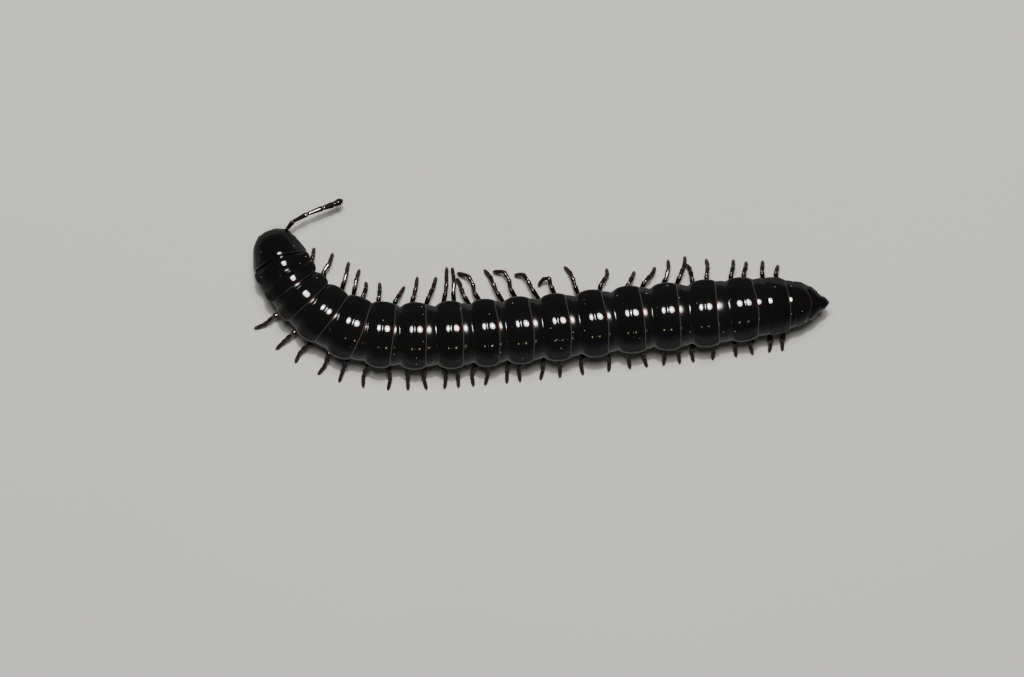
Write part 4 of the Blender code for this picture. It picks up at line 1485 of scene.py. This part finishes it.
def build_tail():
    """Last ring with its blunt tail spike, the two valves of the vent and the scale below them."""
    finishes = [TAIL_SHELL, BRISTLE]
    start = MARGINS[-2]
    turn = math.radians(HEADINGS[-1])
    first, last = TAIL_PROFILE[0][0], TAIL_PROFILE[-1][0]
    steps = 60
    stations = [(0.0, 0.3)] + [(k / steps, 1.0) for k in range(steps + 1)] + [(1.0, 0.3)]
    tail = turned("tail_ring", 72, stations)
    for vertex in tail.data.vertices:
        x, y, z = vertex.co
        place = first + z * (last - first)
        half, top, under = table_at(TAIL_PROFILE, place)
        size, angle = math.hypot(x, y), math.atan2(y, x)
        level = (top + under) / 2
        across = half * size * signed_power(math.cos(angle), 0.93)
        rise = (top - level) * size * signed_power(math.sin(angle), 0.98)
        vertex.co = shell_spot(start + place, across, level + rise, turn)
    mark(tail, "station", [1.5] * len(tail.data.vertices))
    pieces = [tail]
    for side in (-1, 1):
        valve = rounded("valve", 48, 32)
        for vertex in valve.data.vertices:
            x, y, z = vertex.co
            lip = 0.05 * hump(x, 0.55, 0.22) * smooth(-side * y, 0.2, 0.9)
            out = side * 0.215 + 0.215 * y
            vertex.co = shell_spot(start + 0.40 + 0.33 * x + lip, out, 2.88 + 0.45 * z, turn)
        pieces.append(valve)
    scale = rounded("scale", 40, 24)
    for vertex in scale.data.vertices:
        x, y, z = vertex.co
        narrow = 1 - 0.45 * smooth(x, 0.0, 1.0)
        vertex.co = shell_spot(start + 0.32 + 0.34 * x, 0.36 * y * narrow, 2.49 + 0.12 * z, turn)
    pieces.append(scale)
    for piece in pieces:
        fix_outward(piece)
        dress(piece, finishes)
    hair = put_away(tapered("tail_hair", 4, 0.011, 0.002, 0.34))
    wart = put_away(tapered("tail_wart", 10, 0.035, 0.018, 0.045))
    bristles = Assembly(finishes)
    _, tailward, right = axes_at(start + 0.9)
    for place, out, up, lift in TAIL_BRISTLES:
        for aside in (out, -out):
            spot = shell_spot(start + place - 0.01, aside, up, turn)
            aim = (tailward + right * (0.8 * aside) + Vector((0, 0, lift))).normalized()
            bristles.add(wart, facing(aim, spot), TAIL_SHELL)
            bristles.add(hair, facing(aim, spot, 1, chance.uniform(0.75, 1.0)), BRISTLE)
    pieces.append(bristles.made("tail_bristles"))
    hand_over(joined("tail_ring", pieces), "telson", 50)


# stage


def build_stage():
    """The floor, the studio's light and the camera at the photograph's angle."""
    fresh()
    bpy.ops.mesh.primitive_plane_add(size=3.0)
    floor = named("floor")
    dress(floor, [floor_finish()])

    studio_air()
    softbox("key_light", KEY_TILT, LAMP_DISTANCE, 90.0, 1.6, DAYLIGHT)
    softbox("spark_light", KEY_TILT, LAMP_DISTANCE - 1.0, 6.0, 0.9, DAYLIGHT)
    softbox("warm_light", WARM_TILT, LAMP_DISTANCE, 22.0, 0.028, AMBER)

    lens = bpy.data.cameras.new("camera")
    camera = bpy.data.objects.new("camera", lens)
    bpy.context.scene.collection.objects.link(camera)
    tilt = math.radians(CAMERA_TILT)
    away = Vector((0, math.sin(tilt), math.cos(tilt))) * CAMERA_DISTANCE
    camera.location = (Vector(AIM) + away) * MM
    camera.rotation_euler = (-tilt, 0, 0)
    lens.sensor_width = SENSOR
    lens.lens = SENSOR * CAMERA_DISTANCE / FRAME_WIDTH
    lens.clip_start = 0.01
    lens.clip_end = 10.0
    bpy.context.scene.camera = camera


def studio_air():
    """Dim overhead, paler towards the floor, most on the animal's left."""
    world = bpy.data.worlds.new("studio")
    bpy.context.scene.world = world
    world.use_nodes = True
    nodes, links = world.node_tree.nodes, world.node_tree.links
    air = nodes["Background"]
    air.inputs["Color"].default_value = colour(0.90, 0.94, 1.0)
    coords = nodes.new("ShaderNodeTexCoord")
    parts = nodes.new("ShaderNodeSeparateXYZ")
    links.new(coords.outputs["Generated"], parts.inputs[0])
    fades = []
    for axis, low, high, first, last in (("Z", 0.0, 0.62, 1.0, 0.0), ("Y", -0.9, 0.3, 0.50, 0.15)):
        fade = nodes.new("ShaderNodeMapRange")
        fade.interpolation_type = "SMOOTHSTEP"
        fade.inputs["From Min"].default_value = low
        fade.inputs["From Max"].default_value = high
        fade.inputs["To Min"].default_value = first
        fade.inputs["To Max"].default_value = last
        links.new(parts.outputs[axis], fade.inputs["Value"])
        fades.append(fade)
    glow = nodes.new("ShaderNodeMath")
    glow.operation = "MULTIPLY_ADD"
    glow.inputs[2].default_value = 0.012
    links.new(fades[0].outputs["Result"], glow.inputs[0])
    links.new(fades[1].outputs["Result"], glow.inputs[1])
    links.new(glow.outputs[0], air.inputs["Strength"])


def softbox(name, tilt, distance, size, power, tint):
    """A round lamp over the body, its beam tilted from upright by degrees towards +Y."""
    lamp = bpy.data.lights.new(name, "AREA")
    lamp.shape = "DISK"
    lamp.size = size * MM
    lamp.energy = power
    lamp.color = tint
    thing = bpy.data.objects.new(name, lamp)
    bpy.context.scene.collection.objects.link(thing)
    tilt = math.radians(tilt)
    way = Vector((0.0, math.sin(tilt), math.cos(tilt)))
    thing.location = (Vector(LAMP_AIM) + way * distance) * MM
    thing.rotation_euler = way.to_track_quat("Z", "Y").to_euler()


build_rings()
build_collum()
build_head()
build_legs()
build_antenna("feeler_right", "antenna_right", 1, ANTENNA_REACH, 0.42, 0.0)
build_antenna("feeler_left", "antenna_left", -1, ANTENNA_TUCK, 0.18, 1.9)
build_tail()
build_stage()
